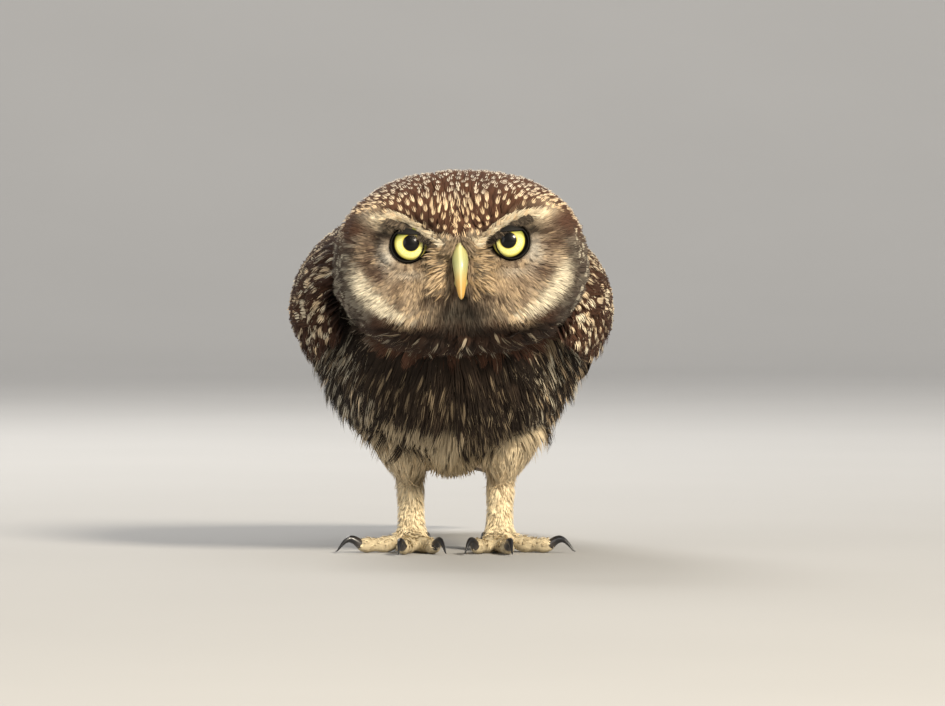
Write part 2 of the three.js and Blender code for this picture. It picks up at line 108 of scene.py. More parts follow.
def vec(x, y, z):
    """Three numbers or arrays as one array of vectors."""
    return np.stack(np.broadcast_arrays(*(np.asarray(c, float) for c in (x, y, z))), -1)


def along(stations, place):
    """A smooth curve through (place, value) stations: cubic Hermite pieces whose slopes are the neighbours'
    chords."""
    x, y = np.array(stations, float).T
    first, last = (y[1] - y[0]) / (x[1] - x[0]), (y[-1] - y[-2]) / (x[-1] - x[-2])
    chord = np.r_[first, (y[2:] - y[:-2]) / (x[2:] - x[:-2]), last]
    at = np.clip(place, x[0], x[-1])
    i = np.clip(np.searchsorted(x, at, side="right") - 1, 0, len(x) - 2)
    h = x[i + 1] - x[i]
    t = (at - x[i]) / h
    return (
        (2 * t**3 - 3 * t**2 + 1) * y[i] + (t**3 - 2 * t**2 + t) * h * chord[i]
        + (3 * t**2 - 2 * t**3) * y[i + 1] + (t**3 - t**2) * h * chord[i + 1]
    )


HASH_WAVES = np.array([127.1, 311.7, 74.7])
HASH_GAIN = 43758.5453
SEED_SHIFT = 17.3


def mottle(p, size, seed):
    """Value noise, 0 to 1: random numbers at the corners of cubes of this size, eased between them. A
    corner's number is the fraction of a sine with a large gain."""
    q = p / size + seed * SEED_SHIFT
    cell = np.floor(q)
    f = q - cell
    f = f * f * (3 - 2 * f)
    total = 0
    for corner in np.ndindex(2, 2, 2):
        at = cell + corner
        value = np.sin(at @ HASH_WAVES) * HASH_GAIN
        weight = np.prod(np.where(np.array(corner) == 1, f, 1 - f), axis=-1)
        total = total + (value - np.floor(value)) * weight
    return total


# Frames
def in_head(p):
    """Head frame to bird frame: a roll about Y, then a shift to the head's centre."""
    c, s = np.cos(-HEAD["roll"]), np.sin(-HEAD["roll"])
    x, y, z = np.moveaxis(np.asarray(p, float), -1, 0)
    return vec(c * x + s * z + HEAD["x"], y + HEAD["y"], -s * x + c * z + HEAD["z"])


def to_head(p):
    """Bird frame to head frame, the other way round."""
    c, s = np.cos(-HEAD["roll"]), np.sin(-HEAD["roll"])
    x, y, z = np.moveaxis(np.asarray(p, float) - vec(HEAD["x"], HEAD["y"], HEAD["z"]), -1, 0)
    return vec(c * x - s * z, y, s * x + c * z)


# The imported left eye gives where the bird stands, because its centre is a known place of the head.
eye_low, eye_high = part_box("eye_left")
SHIFT = np.array((eye_low + eye_high) / 2) * 1000 - in_head((EYE["x"], EYE["y"], EYE["z"]))
SHIFT[2] = 0


def placed(points):
    """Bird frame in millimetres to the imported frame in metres."""
    return (np.asarray(points) + SHIFT) / 1000


# Meshes from arrays
def shown(name, data):
    """A new object of the scene with this mesh, lamp or camera."""
    piece = bpy.data.objects.new(name, data)
    bpy.context.scene.collection.objects.link(piece)
    return piece


def new_mesh(name, points, faces):
    """A mesh object whose vertices are placed(points) and whose faces are rows of vertex numbers."""
    me = bpy.data.meshes.new(name)
    faces = np.asarray(faces, np.int32)
    me.vertices.add(len(points))
    me.vertices.foreach_set("co", placed(points).astype(np.float32).ravel())
    me.loops.add(faces.size)
    me.loops.foreach_set("vertex_index", faces.ravel())
    me.polygons.add(len(faces))
    me.polygons.foreach_set("loop_start", np.arange(0, faces.size, faces.shape[1], dtype=np.int32))
    me.update(calc_edges=True)
    me.polygons.foreach_set("use_smooth", np.full(len(faces), True))
    return shown(name, me)


def attribute(piece, name, values):
    """A per-vertex attribute of numbers, vectors or colours, by the width of values."""
    width = 1 if values.ndim == 1 else values.shape[1]
    kind, field = {1: ("FLOAT", "value"), 3: ("FLOAT_VECTOR", "vector"), 4: ("FLOAT_COLOR", "color")}[width]
    layer = piece.data.attributes.new(name, kind, "POINT")
    layer.data.foreach_set(field, np.ascontiguousarray(values, np.float32).ravel())


def colour_attribute(piece, name, rgb):
    """A per-vertex colour, opaque."""
    attribute(piece, name, np.concatenate([rgb, np.ones((len(rgb), 1))], 1))


def bake_map(piece, places):
    """The piece's OFBake map from one place for each vertex."""
    corner = np.empty(len(piece.data.loops), np.int32)
    piece.data.loops.foreach_get("vertex_index", corner)
    layer = piece.data.uv_layers.new(name="OFBake")
    layer.uv.foreach_set("vector", places[corner].astype(np.float32).ravel())


def grid_quads(numbers):
    """Quads between the neighbouring rows and columns of a grid of vertex numbers."""
    corners = numbers[:-1, :-1], numbers[:-1, 1:], numbers[1:, 1:], numbers[1:, :-1]
    return np.stack(corners, -1).reshape(-1, 4)


def ring_places(rows, columns):
    """(s, turn) of rows + 1 rings of columns points: s from 0 to 1 over the rings, turn once round each."""
    return np.meshgrid(np.linspace(0, 1, rows + 1), np.arange(columns) / columns, indexing="ij")


def ringed(rows, columns, point):
    """(points, quads) of the closed skin of rings point(s, turn), s from pole to pole and turn once round."""
    numbers = np.arange((rows + 1) * columns).reshape(rows + 1, columns)
    return point(*ring_places(rows, columns)).reshape(-1, 3), grid_quads(np.c_[numbers, numbers[:, :1]])


def limb_place(s, rows):
    """The place t along a limb's path of its ring at s: the first two rings share t = 0, the last two t =
    1."""
    return np.clip((s * rows - 1) / (rows - 2), 0, 1)


def limb(centre, half_sizes, rows, columns):
    """A round piece along the path centre(t): ellipses across it with half_sizes(t), closed to a point at
    both ends."""
    def point(s, turn):
        t = limb_place(s, rows)
        shut = (s > 0) & (s < 1)
        ahead = unit(centre(np.minimum(1, t + 0.01)) - centre(np.maximum(0, t - 0.01)))
        across = unit(vec(1, 0, 0) - ahead * ahead[..., :1])
        over = np.cross(ahead, across)
        a, b = (size * shut for size in half_sizes(t))
        angle = 2 * np.pi * turn
        return centre(t) + across * (a * np.cos(angle))[..., None] + over * (b * np.sin(angle))[..., None]

    return ringed(rows, columns, point)


def ellipsoid(centre, radii, rows, columns):
    """Points centre + radii * (sin a cos b, cos a, sin a sin b), a from pole to pole and b once round."""
    def point(s, turn):
        polar, spin = np.pi * s, 2 * np.pi * turn
        return np.asarray(centre) + np.asarray(radii) * vec(
            np.sin(polar) * np.cos(spin), np.cos(polar), np.sin(polar) * np.sin(spin)
        )

    return ringed(rows, columns, point)


def joined(parts):
    """Several (points, faces) with faces of one width as one."""
    points, faces, count = [], [], 0
    for p, f in parts:
        points.append(p)
        faces.append(np.asarray(f) + count)
        count += len(p)
    return np.concatenate(points), np.concatenate(faces)


# Head
def brow_height(x):
    """The brow rises from the bridge of the bill to above the eye, then falls outside it."""
    return 7.2 + 6.6 * smooth(1, 15, x) - 1.6 * smooth(17, 26, x)


def face_relief(x, z):
    """Pushes the face in and out: eye basins, brows, bridge, rim of the disc, bristle pads and chin."""
    side = np.abs(x)
    basin = -EYE["socket"] * bump(np.hypot(side - EYE["x"], z - EYE["z"]), 6.2)
    brow = 2.0 * bump(z - brow_height(side), 2.3) * smooth(0, 4, side) * (1 - smooth(20, 27, side))
    bridge = 1.5 * bump(side, 3.6) * bump(z - 4, 5.5)
    rim = 1.3 * bump(np.hypot((side - 12) / 1.12, z - 1) - 16.5, 2.6) * smooth(3, 9, side)
    bristles = 1.4 * bump(np.hypot(side - 5.5, z + 5.5), 4.2)
    chin = -1.8 * bump(np.hypot(side, z + 13), 5)
    return basin + brow + bridge + rim + bristles + chin


def head_point(dx, dy, dz, more):
    """The blunt ellipsoid |x/a|^k + |y/b|^k + |z/c|^k = 1 along a direction, grown by more, with the face's
    relief."""
    power = HEAD["boxiness"]
    depth = np.where(dy < 0, HEAD["front"], HEAD["back"])
    height = np.where(dz > 0, HEAD["up"], HEAD["down"])
    sizes = (HEAD["half_width"], depth, height)
    total = sum(np.abs(d / size) ** power for d, size in zip((dx, dy, dz), sizes))
    base = total ** (-1 / power)
    reach = base + more + smooth(0.15, 0.6, -dy) * face_relief(dx * base, dz * base)
    return in_head(vec(dx * reach, dy * reach, dz * reach))


def head_surface(more):
    """head_point over the sphere of directions, with the columns crowded towards the face."""
    crowding = 0.35

    def point(s, turn):
        polar, spin = np.pi * s, 2 * np.pi * turn
        spin = spin - crowding * np.sin(spin)
        return head_point(-np.sin(polar) * np.sin(spin), -np.sin(polar) * np.cos(spin), np.cos(polar), more)

    return ringed(96, 144, point)


# Body
def torso_surface(more):
    """An egg along Y whose middle falls towards the tail; its half sizes follow sin(pi t^crest)^fullness."""
    def point(s, turn):
        t = (1 - np.cos(np.pi * s)) / 2
        y = mix(TORSO["breast"] - more, TORSO["rump"] + more, t)
        inner = (s > 0) & (s < 1)
        held = np.clip(t, 1e-9, 1 - 1e-9)
        shape = np.where(inner, np.sin(np.pi * held ** TORSO["crest"]) ** TORSO["fullness"], 0)
        grow = np.where(inner, more, 0) * np.minimum(1, shape * 3)
        angle = 2 * np.pi * turn
        return vec(
            TORSO["x"] + (TORSO["half_width"] * shape + grow) * np.sin(angle),
            y,
            TORSO["middle"] - TORSO["fall"] * y + (TORSO["half_height"] * shape + grow) * np.cos(angle),
        )

    return ringed(60, 80, point)


def neck_surface(more):
    """An ellipsoid behind the head."""
    radii = (NECK["half_width"] + more, NECK["half_length"] + more, NECK["half_height"] + more)
    return ellipsoid((0, NECK["y"], NECK["z"]), radii, 40, 60)


def thigh_surface(side, more):
    """A drumstick from the flank to the knee, leaning in: its half sizes follow sin(pi (0.08 + 0.82
    t)^0.62)^0.5."""
    x = side * LEG["spread"]
    lean = 2.5

    def centre(t):
        return vec(
            x + side * lean * (1 - t), mix(2, LEG["knee_y"], t), mix(LEG["thigh_top"], LEG["thigh_end"], t)
        )

    def half_sizes(t):
        taper = np.sin(np.pi * (0.08 + 0.82 * t) ** 0.62) ** 0.5
        return mix(*LEG["thigh_wide"], t) * taper + more, mix(*LEG["thigh_deep"], t) * taper + more

    return limb(centre, half_sizes, 26, 36)


def shank_surface(side, more):
    """A straight rod from inside the thigh to the floor, wider over the foot."""
    x = side * LEG["spread"]
    lean, overlap, sole = 0.6, 4, 0.8

    def centre(t):
        return vec(
            x + side * lean * (1 - t),
            mix(LEG["knee_y"], LEG["foot_y"], t),
            mix(LEG["thigh_end"] + overlap, sole, t),
        )

    def half_sizes(t):
        flare = 1 + 0.22 * smooth(0.6, 0.95, t) - 0.35 * smooth(0.93, 1, t)
        return LEG["tarsus"] * flare + more, LEG["tarsus"] * 1.05 * flare + more

    return limb(centre, half_sizes, 24, 28)


def toe_axis(side, heading):
    """(start, way) of a toe on the floor, at a heading in degrees outwards from straight ahead."""
    turn = heading * DEG
    way = vec(side * np.sin(turn), -np.cos(turn), 0)
    return vec(side * LEG["spread"], LEG["foot_y"], 0) + way * TOE["start"], way


def toe_surface(side, toe, more):
    """A toe with its pads: its radius swings with cos along it, and its sole is flat on the floor."""
    heading, length = TOES[toe]
    start, way = toe_axis(side, heading)
    pad_count, root_height = 2.6, 3.4

    def half_sizes(t):
        pads = 1 + 0.1 * np.cos(2 * np.pi * pad_count * t)
        ends = np.sqrt(np.clip(1.02 - (2 * t - 1) ** 8, 0, 1))
        radius = TOE["radius"] * pads * mix(1.08, 0.88, t) * ends + more
        return radius, radius * 1.02

    def centre(t):
        flat = start + way * (length * np.asarray(t))[..., None]
        flat[..., 2] = mix(root_height, TOE["axis"], smooth(0, 0.4, np.asarray(t)))
        return flat

    points, faces = limb(centre, half_sizes, 30, 24)
    points[:, 2] = np.maximum(points[:, 2], 0)
    return points, faces


CLAW_ROWS, CLAW_COLUMNS = 26, 20


def claw_surface(side, toe):
    """A claw that leaves the toe's tip, arches over by a sine and comes down to a point just above the
    floor."""
    heading, length = TOES[toe]
    start, way = toe_axis(side, heading)

    def centre(t):
        t = np.asarray(t)
        p = start + way * (length + CLAW["reach"] * t - CLAW["inset"])[..., None]
        p[..., 2] = CLAW["root"] + CLAW["arch"] * np.sin(np.pi * np.minimum(1, t * 1.08)) - CLAW["fall"] * t
        return p

    def half_sizes(t):
        return mix(CLAW["half_width"], CLAW["point"], t**1.2), mix(CLAW["half_depth"], CLAW["point"], t**1.2)

    return limb(centre, half_sizes, CLAW_ROWS, CLAW_COLUMNS)


# Cloak: the surface that the folded wing follows
def cloak(side, y, angle, lift):
    """(point, out, back, down) at a place along the body and an angle from the top; sections are ellipses."""
    def place(a, b):
        turn = b * DEG
        return vec(
            TORSO["x"] + side * along(CLOAK["half_width"], a) * np.sin(turn),
            a,
            along(CLOAK["middle"], a) + along(CLOAK["half_height"], a) * np.cos(turn),
        )

    back = unit(place(y + 0.5, angle) - place(y - 0.5, angle))
    down = unit(place(y, angle + 0.5) - place(y, angle - 0.5))
    out = unit(np.cross(back, down)) * -side
    return place(y, angle) + out * np.asarray(lift)[..., None], out, back, down


def bed_surface(side, more):
    """The wing's bed: two sheets between the lifts over and under, meeting round a blunt edge. A ring runs
    over it from the top line to the low one, and back under it."""
    def point(s, turn):
        v = np.where(turn < 0.5, 2 * turn, 2 - 2 * turn)
        face = np.where(turn < 0.5, 1, -1)
        v = 0.5 - 0.5 * np.cos(np.pi * v)
        y = mix(BED["front"], BED["back"], s**1.2)
        angle = mix(along(BED["top"], y), along(BED["low"], y), v)
        edge = np.sqrt(np.clip(1 - (2 * v - 1) ** 4, 0, 1))
        edge = edge * np.sqrt(np.clip(1 - np.maximum(0, 1 - s / 0.25) ** 4, 0, 1))
        over, under = along(BED["over"], y) + more, along(BED["under"], y)
        shut = np.where(s < 1, 1, 0)
        return cloak(side, y, angle, (over + under) / 2 + face * edge * shut * (over - under) / 2)[0]

    return ringed(50, 68, point)


def over_cloak(side, root, step, lifts):
    """The path of each feather from its (place, angle) root on the cloak by its step, with lifts at its
    start, middle and tip, as laid gives it."""
    start, middle, tip = (cloak(side, *(root + step * t).T, lift) for t, lift in zip((0, 0.5, 1), lifts))
    return start[0], middle[0], tip[0], start[1], tip[1]


# Skin: every part of flesh, grown together
def skin_parts():
    """Each part's (points, faces) by its name, inside its solid by the depth of the coat."""
    parts = {
        "head": head_surface(-COAT["head"]),
        "neck": neck_surface(-COAT["neck"]),
        "torso": torso_surface(-COAT["torso"]),
    }
    for name, side in SIDES.items():
        parts["bed_" + name] = bed_surface(side, -COAT["bed"])
        parts["thigh_" + name] = thigh_surface(side, -COAT["thigh"])
        parts["shank_" + name] = shank_surface(side, -COAT["shank"])
        for toe in TOES:
            parts[f"toe_{toe}_{name}"] = toe_surface(side, toe, -COAT["toe"])
    return parts


VOXEL = 0.8


def grown_together(name, parts):
    """One closed skin over several overlapping closed parts: a voxel remesh, then a light smoothing."""
    rough = new_mesh("rough", *joined(parts.values()))
    remesh = rough.modifiers.new("remesh", "REMESH")
    remesh.mode = "VOXEL"
    remesh.voxel_size = VOXEL / 1000
    ease = rough.modifiers.new("ease", "SMOOTH")
    ease.factor = 0.5
    ease.iterations = 4
    made = bpy.data.meshes.new_from_object(rough.evaluated_get(bpy.context.evaluated_depsgraph_get()))
    old = rough.data
    bpy.data.objects.remove(rough)
    bpy.data.meshes.remove(old)
    made.name = name
    made.polygons.foreach_set("use_smooth", np.full(len(made.polygons), True))
    return shown(name, made)


def vertices_of(piece):
    """The piece's vertices in the bird frame, in millimetres."""
    co = np.empty(len(piece.data.vertices) * 3, np.float32)
    piece.data.vertices.foreach_get("co", co)
    return co.reshape(-1, 3).astype(float) * 1000 - SHIFT


class Surface:
    """A surface that answers where its nearest point is and which way it faces."""

    def __init__(self, points, faces):
        self.tree = BVHTree.FromPolygons(points.tolist(), np.asarray(faces).tolist())

    def nearest(self, points):
        """(nearest points, normals, distances) for an array of points."""
        found = [self.tree.find_nearest(Vector(p)) for p in points]
        return (
            np.array([f[0] for f in found], float).reshape(-1, 3),
            np.array([f[1] for f in found], float).reshape(-1, 3),
            np.array([f[3] for f in found], float),
        )


def faces_of(piece):
    """The piece's faces as lists of vertex numbers."""
    corner = np.empty(len(piece.data.loops), np.int32)
    piece.data.loops.foreach_get("vertex_index", corner)
    start = np.empty(len(piece.data.polygons), np.int32)
    piece.data.polygons.foreach_get("loop_start", start)
    return [row.tolist() for row in np.split(corner, start[1:])]


# Where feathers grow: even, random roots on one part of the skin
TRIES = 5  # random points for each place that a feather could take
NEAR_SKIN = 1.2  # a root farther from the grown skin than this is buried under another part


def scattered(part, spacing, seed, skin, keep):
    """(roots, normals) about spacing apart on the part of the skin that this part makes: random points by
    area, of which keep(points) leaves some out, thinned one after another."""
    points, faces = part
    rng = np.random.default_rng(seed)
    tri = np.concatenate([faces[:, [0, 1, 2]], faces[:, [0, 2, 3]]])
    a, b, c = (points[tri[:, k]] for k in range(3))
    area = np.linalg.norm(np.cross(b - a, c - a), axis=1) / 2
    count = int(TRIES * area.sum() / spacing**2)
    pick = rng.choice(len(tri), count, p=area / area.sum())
    u, v = rng.random((2, count))
    flip = u + v > 1
    u, v = np.where(flip, 1 - u, u), np.where(flip, 1 - v, v)
    spots = a[pick] + (b - a)[pick] * u[:, None] + (c - a)[pick] * v[:, None]
    spots = spots[keep(spots)]
    tree = KDTree(len(spots))
    for i, p in enumerate(spots):
        tree.insert(p, i)
    tree.balance()
    alive = np.ones(len(spots), bool)
    chosen = []
    for i, spot in enumerate(spots):
        if alive[i]:
            chosen.append(i)
            for _, other, _ in tree.find_range(spot, spacing):
                alive[other] = False
    roots, normals, away = skin.nearest(spots[chosen])
    kept = away < NEAR_SKIN
    return roots[kept], normals[kept]


def lie_of(flow, normals):
    """The part of a flow that runs along the skin, as unit vectors."""
    return unit(flow - normals * (flow * normals).sum(-1, keepdims=True))


# Tufts: each feather is a fan of thin tapering strips that spread from its shaft
PATCH = 0.003  # the size of a feather's own patch of the OFBake map
FLOOR_GAP = 0.15  # no strip comes lower than this


def laid(skin, roots, normals, lie, length, lift, sink=0.4):
    """Paths over the skin: each starts sunk under its root, and passes over the skin's places at half and
    at full length, raised by lift. Gives (start, middle, tip, up at the start, up at the tip)."""
    length, lift = (np.broadcast_to(np.asarray(x, float), len(roots)) for x in (length, lift))
    middle, middle_up, _ = skin.nearest(roots + lie * (length * 0.5)[:, None])
    tip, tip_up, _ = skin.nearest(roots + lie * length[:, None])
    # where the nearest skin is another part's, the feather goes straight on over its own
    lost = np.linalg.norm(tip - roots, axis=1) > 1.1 * length
    lost |= (np.linalg.norm(tip - middle, axis=1) > 0.75 * length) | ((tip_up * normals).sum(1) < -0.1)
    lost = lost[:, None]
    middle = np.where(lost, roots + lie * (length * 0.45)[:, None], middle)
    tip = np.where(lost, roots + lie * (length * 0.85)[:, None], tip)
    middle_up, tip_up = np.where(lost, normals, middle_up), np.where(lost, normals, tip_up)
    return (
        roots - normals * sink,
        middle + middle_up * (lift * 0.62)[:, None],
        tip + tip_up * np.where(lost[:, 0], 0.7, 1)[:, None] * lift[:, None],
        normals,
        tip_up,
    )


def tufts(name, path, width, strands, rows, seed, ground, marked, mark, patch,
          spread=0.55, roundness=0.32, loose=0.1, camber=0.25):
    """A joined mesh of feathers. Each of a feather's strands is a strip that runs up its own line u of the
    vane, v from 0 to its reach, and the vane follows the quadratic through the path's start, middle and
    tip. ground is a colour for each feather, or a function that gives one for each strip's place."""
    p0, p1, p2, up0, up2 = path
    count = len(p0)
    rng = np.random.default_rng(seed)
    width = np.broadcast_to(np.asarray(width, float), count)
    side = unit(np.cross(up0, p2 - p0))

    line = np.linspace(-1, 1, strands)
    t = np.repeat(np.linspace(0, 1, rows + 1), 2)[:-1]
    edge = np.r_[np.tile([-1.0, 1.0], rows), 0.0]
    corners = len(t)
    jitter = rng.normal(0, 1, (4, count, strands))
    reach = 1 - roundness * np.abs(line) ** 2.2 + loose * 0.6 * jitter[0]
    v = t * reach[..., None]
    open_up = 0.22 + 0.78 * np.sin(np.pi / 2 * np.clip(v / spread, 0, 1))
    half = 1.5 / strands * (1 - np.clip((t - 0.35) / 0.65, 0, 1) ** 1.6 * 0.92)
    drift = (line + loose * 0.9 * jitter[1])[..., None] * open_up + loose * jitter[2][..., None] * t**2
    u = drift + edge * half
    off = (0.07 * jitter[3][..., None] * t - camber * u**2) * width[:, None, None]

    v4 = v[..., None]
    course = (
        p0[:, None, None] * (2 * (v4 - 0.5) * (v4 - 1))
        + p1[:, None, None] * (4 * v4 * (1 - v4))
        + p2[:, None, None] * (v4 * (2 * v4 - 1))
    )
    up = unit(mix(up0[:, None, None], up2[:, None, None], v4))
    points = course + side[:, None, None] * u[..., None] * width[:, None, None, None] + up * off[..., None]
    points[..., 2] = np.maximum(points[..., 2], FLOOR_GAP)

    first = (np.arange(count * strands) * corners)[:, None, None]
    strip = np.array([[2 * k, 2 * k + 1, 2 * k + 2] for k in range(rows)]
                     + [[2 * k + 1, 2 * k + 3, 2 * k + 2] for k in range(rows - 1)])
    piece = new_mesh(name, points.reshape(-1, 3), (first + strip).reshape(-1, 3))

    def each(values):
        """Values for each feather, or for each strip of each, spread over the strips' corners."""
        parts_of = values if values.ndim == 3 else values[:, None]
        shape = (count, strands, corners, parts_of.shape[-1])
        return np.broadcast_to(parts_of[:, :, None], shape).reshape(-1, parts_of.shape[-1])

    if callable(ground):
        outer = points[:, :, 2 * (rows - 1)].reshape(-1, 3)
        ground = ground(outer).reshape(count, strands, 3)
    feather = np.broadcast_to(rng.random(count)[:, None, None], u.shape)
    strand = np.broadcast_to(rng.random((count, strands))[..., None], u.shape)
    attribute(piece, "vane", np.stack([u, v, feather], -1).reshape(-1, 3))
    attribute(piece, "strand", strand.reshape(-1))
    colour_attribute(piece, "ground", each(ground))
    colour_attribute(piece, "marked", each(marked))
    attribute(piece, "mark", each(mark))
    bake_map(piece, each(patch) + PATCH * np.stack([0.5 * np.clip(u, -1, 1), v - 0.5], -1).reshape(-1, 2))
    return piece


# Unwraps for the OFBake maps
MAP_MARGIN = 0.01


def framed(places):
    """Places on an unwrap fitted to the map's square, inside its margin."""
    low, high = places.min(0), places.max(0)
    return MAP_MARGIN + (1 - 2 * MAP_MARGIN) * (places - low) / np.maximum(high - low, 1e-6)


def body_map(points):
    """The trunk's unwrap: the angle round its middle line, by the place along it."""
    x, y, z = points.T
    return framed(np.stack([np.arctan2(x - TORSO["x"], -(z - TORSO["middle"] + TORSO["fall"] * y)), y], 1))


def head_map(points):
    """The head's unwrap: longitude by latitude about its centre."""
    x, y, z = unit(to_head(points)).T
    return framed(np.stack([np.arctan2(x, -y), np.arcsin(np.clip(z, -1, 1))], 1))


def leg_map(points):
    """The legs' unwrap: the angle round each leg, the two side by side, by height."""
    x, y, z = points.T
    turn = np.arctan2(y - LEG["foot_y"], np.abs(x) - LEG["spread"])
    return framed(np.stack([turn + np.sign(x) * 3.3, z + 0.4 * y], 1))


# Shader maths: Python expressions that add nodes
class Sock:
    """A node's output with the operators that the materials use."""

    def __init__(self, tree, link):
        self.tree, self.link = tree, link

    def math(self, operation, *others):
        return self.tree.node("ShaderNodeMath", {"operation": operation}, (self, *others))

    def __add__(self, other):
        return self.math("ADD", other)

    def __sub__(self, other):
        return self.math("SUBTRACT", other)

    def __mul__(self, other):
        return self.math("MULTIPLY", other)

    def __truediv__(self, other):
        return self.math("DIVIDE", other)

    def __pow__(self, other):
        return self.math("POWER", other)

    def __rsub__(self, other):
        return self.tree.node("ShaderNodeMath", {"operation": "SUBTRACT"}, (other, self))

    __radd__ = __add__
    __rmul__ = __mul__

    def abs(self):
        return self.math("ABSOLUTE")

    def fract(self):
        return self.math("FRACT")

    def step(self, a, b):
        """0 below a, 1 above b, smooth between."""
        settings = {"interpolation_type": "SMOOTHSTEP"}
        return self.tree.node("ShaderNodeMapRange", settings, (self, a, b, 0.0, 1.0))


class Finish:
    """A material being built: node() adds any node, and look() wires the shader."""

    def __init__(self, name):
        self.material = bpy.data.materials.new(name)
        self.material.use_nodes = True
        self.tree = self.material.node_tree
        self.shader = self.tree.nodes["Principled BSDF"]

    def node(self, kind, settings=None, values=(), output=0):
        """A node of this type: its settings are set first, then the values or links of its inputs."""
        made = self.tree.nodes.new(kind)
        for key, value in (settings or {}).items():
            setattr(made, key, value)
        pairs = values.items() if isinstance(values, dict) else enumerate(values)
        for key, value in pairs:
            self.feed(made.inputs[key], value)
        return Sock(self, made.outputs[output])

    def feed(self, socket, value):
        if isinstance(value, Sock):
            self.tree.links.new(value.link, socket)
        else:
            socket.default_value = value

    def read(self, name, output="Fac"):
        """A vertex attribute."""
        return self.node("ShaderNodeAttribute", {"attribute_name": name}, (), output)

    def split(self, vector):
        """A vector's three numbers."""
        made = self.tree.nodes.new("ShaderNodeSeparateXYZ")
        self.feed(made.inputs[0], vector)
        return [Sock(self, out) for out in made.outputs]

    def joined(self, x, y, z=0.0):
        return self.node("ShaderNodeCombineXYZ", None, (x, y, z))

    def place(self):
        return self.node("ShaderNodeTexCoord", None, (), "Object")

    def noise(self, vector, scale, detail):
        return self.node("ShaderNodeTexNoise", None, {"Vector": vector, "Scale": scale, "Detail": detail})

    def colour(self, a, b, share, blend="MIX"):
        """From colour a to colour b by a share."""
        made = self.tree.nodes.new("ShaderNodeMix")
        made.data_type, made.blend_type = "RGBA", blend
        for key, value in ((0, share), (6, a), (7, b)):
            self.feed(made.inputs[key], value if isinstance(value, (Sock, float, int)) else (*value, 1.0))
        return Sock(self, made.outputs[2])

    def shaded(self, colour, shade):
        """A colour times a number."""
        return self.colour(colour, self.joined(shade, shade, shade), 1.0, "MULTIPLY")

    def bumped(self, height, distance, strength):
        values = {"Height": height, "Distance": distance, "Strength": strength}
        return self.node("ShaderNodeBump", None, values)

    def look(self, **sockets):
        """The material, with these sockets of its shader set or linked."""
        for key, value in sockets.items():
            socket = self.shader.inputs[key.replace("_", " ")]
            self.feed(socket, (*value, 1.0) if isinstance(value, tuple) and len(value) == 3 else value)
        return self.material


# Finishes
def plumage():
    """Soft feathers: an oval mark on each vane, fine barbs, and painted shade that darkens each strip towards
    its root.
    """
    f = Finish("plumage")
    across, up, feather = f.split(f.read("vane", "Vector"))
    strand = f.read("strand")
    half, middle, reach = f.split(f.read("mark", "Vector"))
    barbs = f.noise(f.joined(across * 7, up * 2.2, feather * 60), 1.0, 2.0)
    far = (across / half) ** 2 + ((up - middle) / reach) ** 2 + (barbs - 0.5) * 1.1
    mark = 1 - far.step(0.65, 1.25)
    colour = f.colour(f.read("ground", "Color"), f.read("marked", "Color"), mark)
    # painted shade: the first factor darkens each strip towards its root, as if shaded by the feathers over
    # it; the others are random tone and barbs
    shade = (0.5 + up.step(0.0, 0.55) * 0.5) * (0.72 + strand * 0.4 + (feather - 0.5) * 0.22)
    shade = shade * (0.8 + barbs * 0.4)
    colour = f.shaded(colour, shade)
    fine = f.noise(f.joined(across * 26, up * 5, feather * 90), 1.0, 1.0)
    return f.look(Base_Color=colour, Roughness=0.78, Specular_IOR_Level=0.12, Sheen_Weight=0.03,
                  Sheen_Roughness=0.6, Normal=f.bumped(fine, 0.0002, 0.5))


def bare_skin():
    """The skin under the coat: the coat's colours darkened as painted shade, as if shaded by the feathers
    over it, with fine down.
    """
    f = Finish("skin")
    down = f.noise(f.place(), 900.0, 3.0)
    # painted shade: the coat's colour at 0.32 to 0.67 of its brightness, varied by the down
    colour = f.shaded(f.read("ground", "Color"), 0.32 + down * 0.35)
    return f.look(Base_Color=colour, Roughness=0.9, Specular_IOR_Level=0.2,
                  Normal=f.bumped(down, 0.0004, 0.6))


def vane_finish():
    """Flight and tail feathers: a shaft, slanting barbs, rows of ragged pale spots on each web, and paler
    edges. mark holds the spots' half width across the web, their shift along the vane, and the number of
    rows."""
    f = Finish("vanes")
    across, up, feather = f.split(f.read("vane", "Vector"))
    half, shift, rows = f.split(f.read("mark", "Vector"))
    barbs = f.noise(f.joined(across.abs() * 3 + up * 9, across * 30 - up * 30, feather * 50), 1.0, 2.0)
    wander = f.noise(f.joined(across * 3, up * 9, feather * 31), 1.0, 3.0) - 0.5
    row = (up * rows + shift).fract() - 0.5
    far = ((across.abs() - 0.6) / half) ** 2 + (row / 0.2) ** 2 + wander * 3.6 + (barbs - 0.5) * 1.8
    mark = (1 - far.step(0.6, 1.25)) * up.step(0.1, 0.3)
    shaft = 1 - across.abs().step(0.02, 0.07)
    edge = across.abs().step(0.78, 1.0) * 0.35 + up.step(0.9, 1.0) * 0.35
    colour = f.colour(f.read("ground", "Color"), f.read("marked", "Color"), mark)
    colour = f.colour(colour, f.read("marked", "Color"), edge * 0.6)
    shade = (0.75 + barbs * 0.45) * (0.9 + (feather - 0.5) * 0.25) * (1 - shaft * 0.35)
    colour = f.shaded(colour, shade)
    return f.look(Base_Color=colour, Roughness=0.7, Specular_IOR_Level=0.12,
                  Normal=f.bumped(barbs + shaft * 0.8, 0.00015, 0.6))


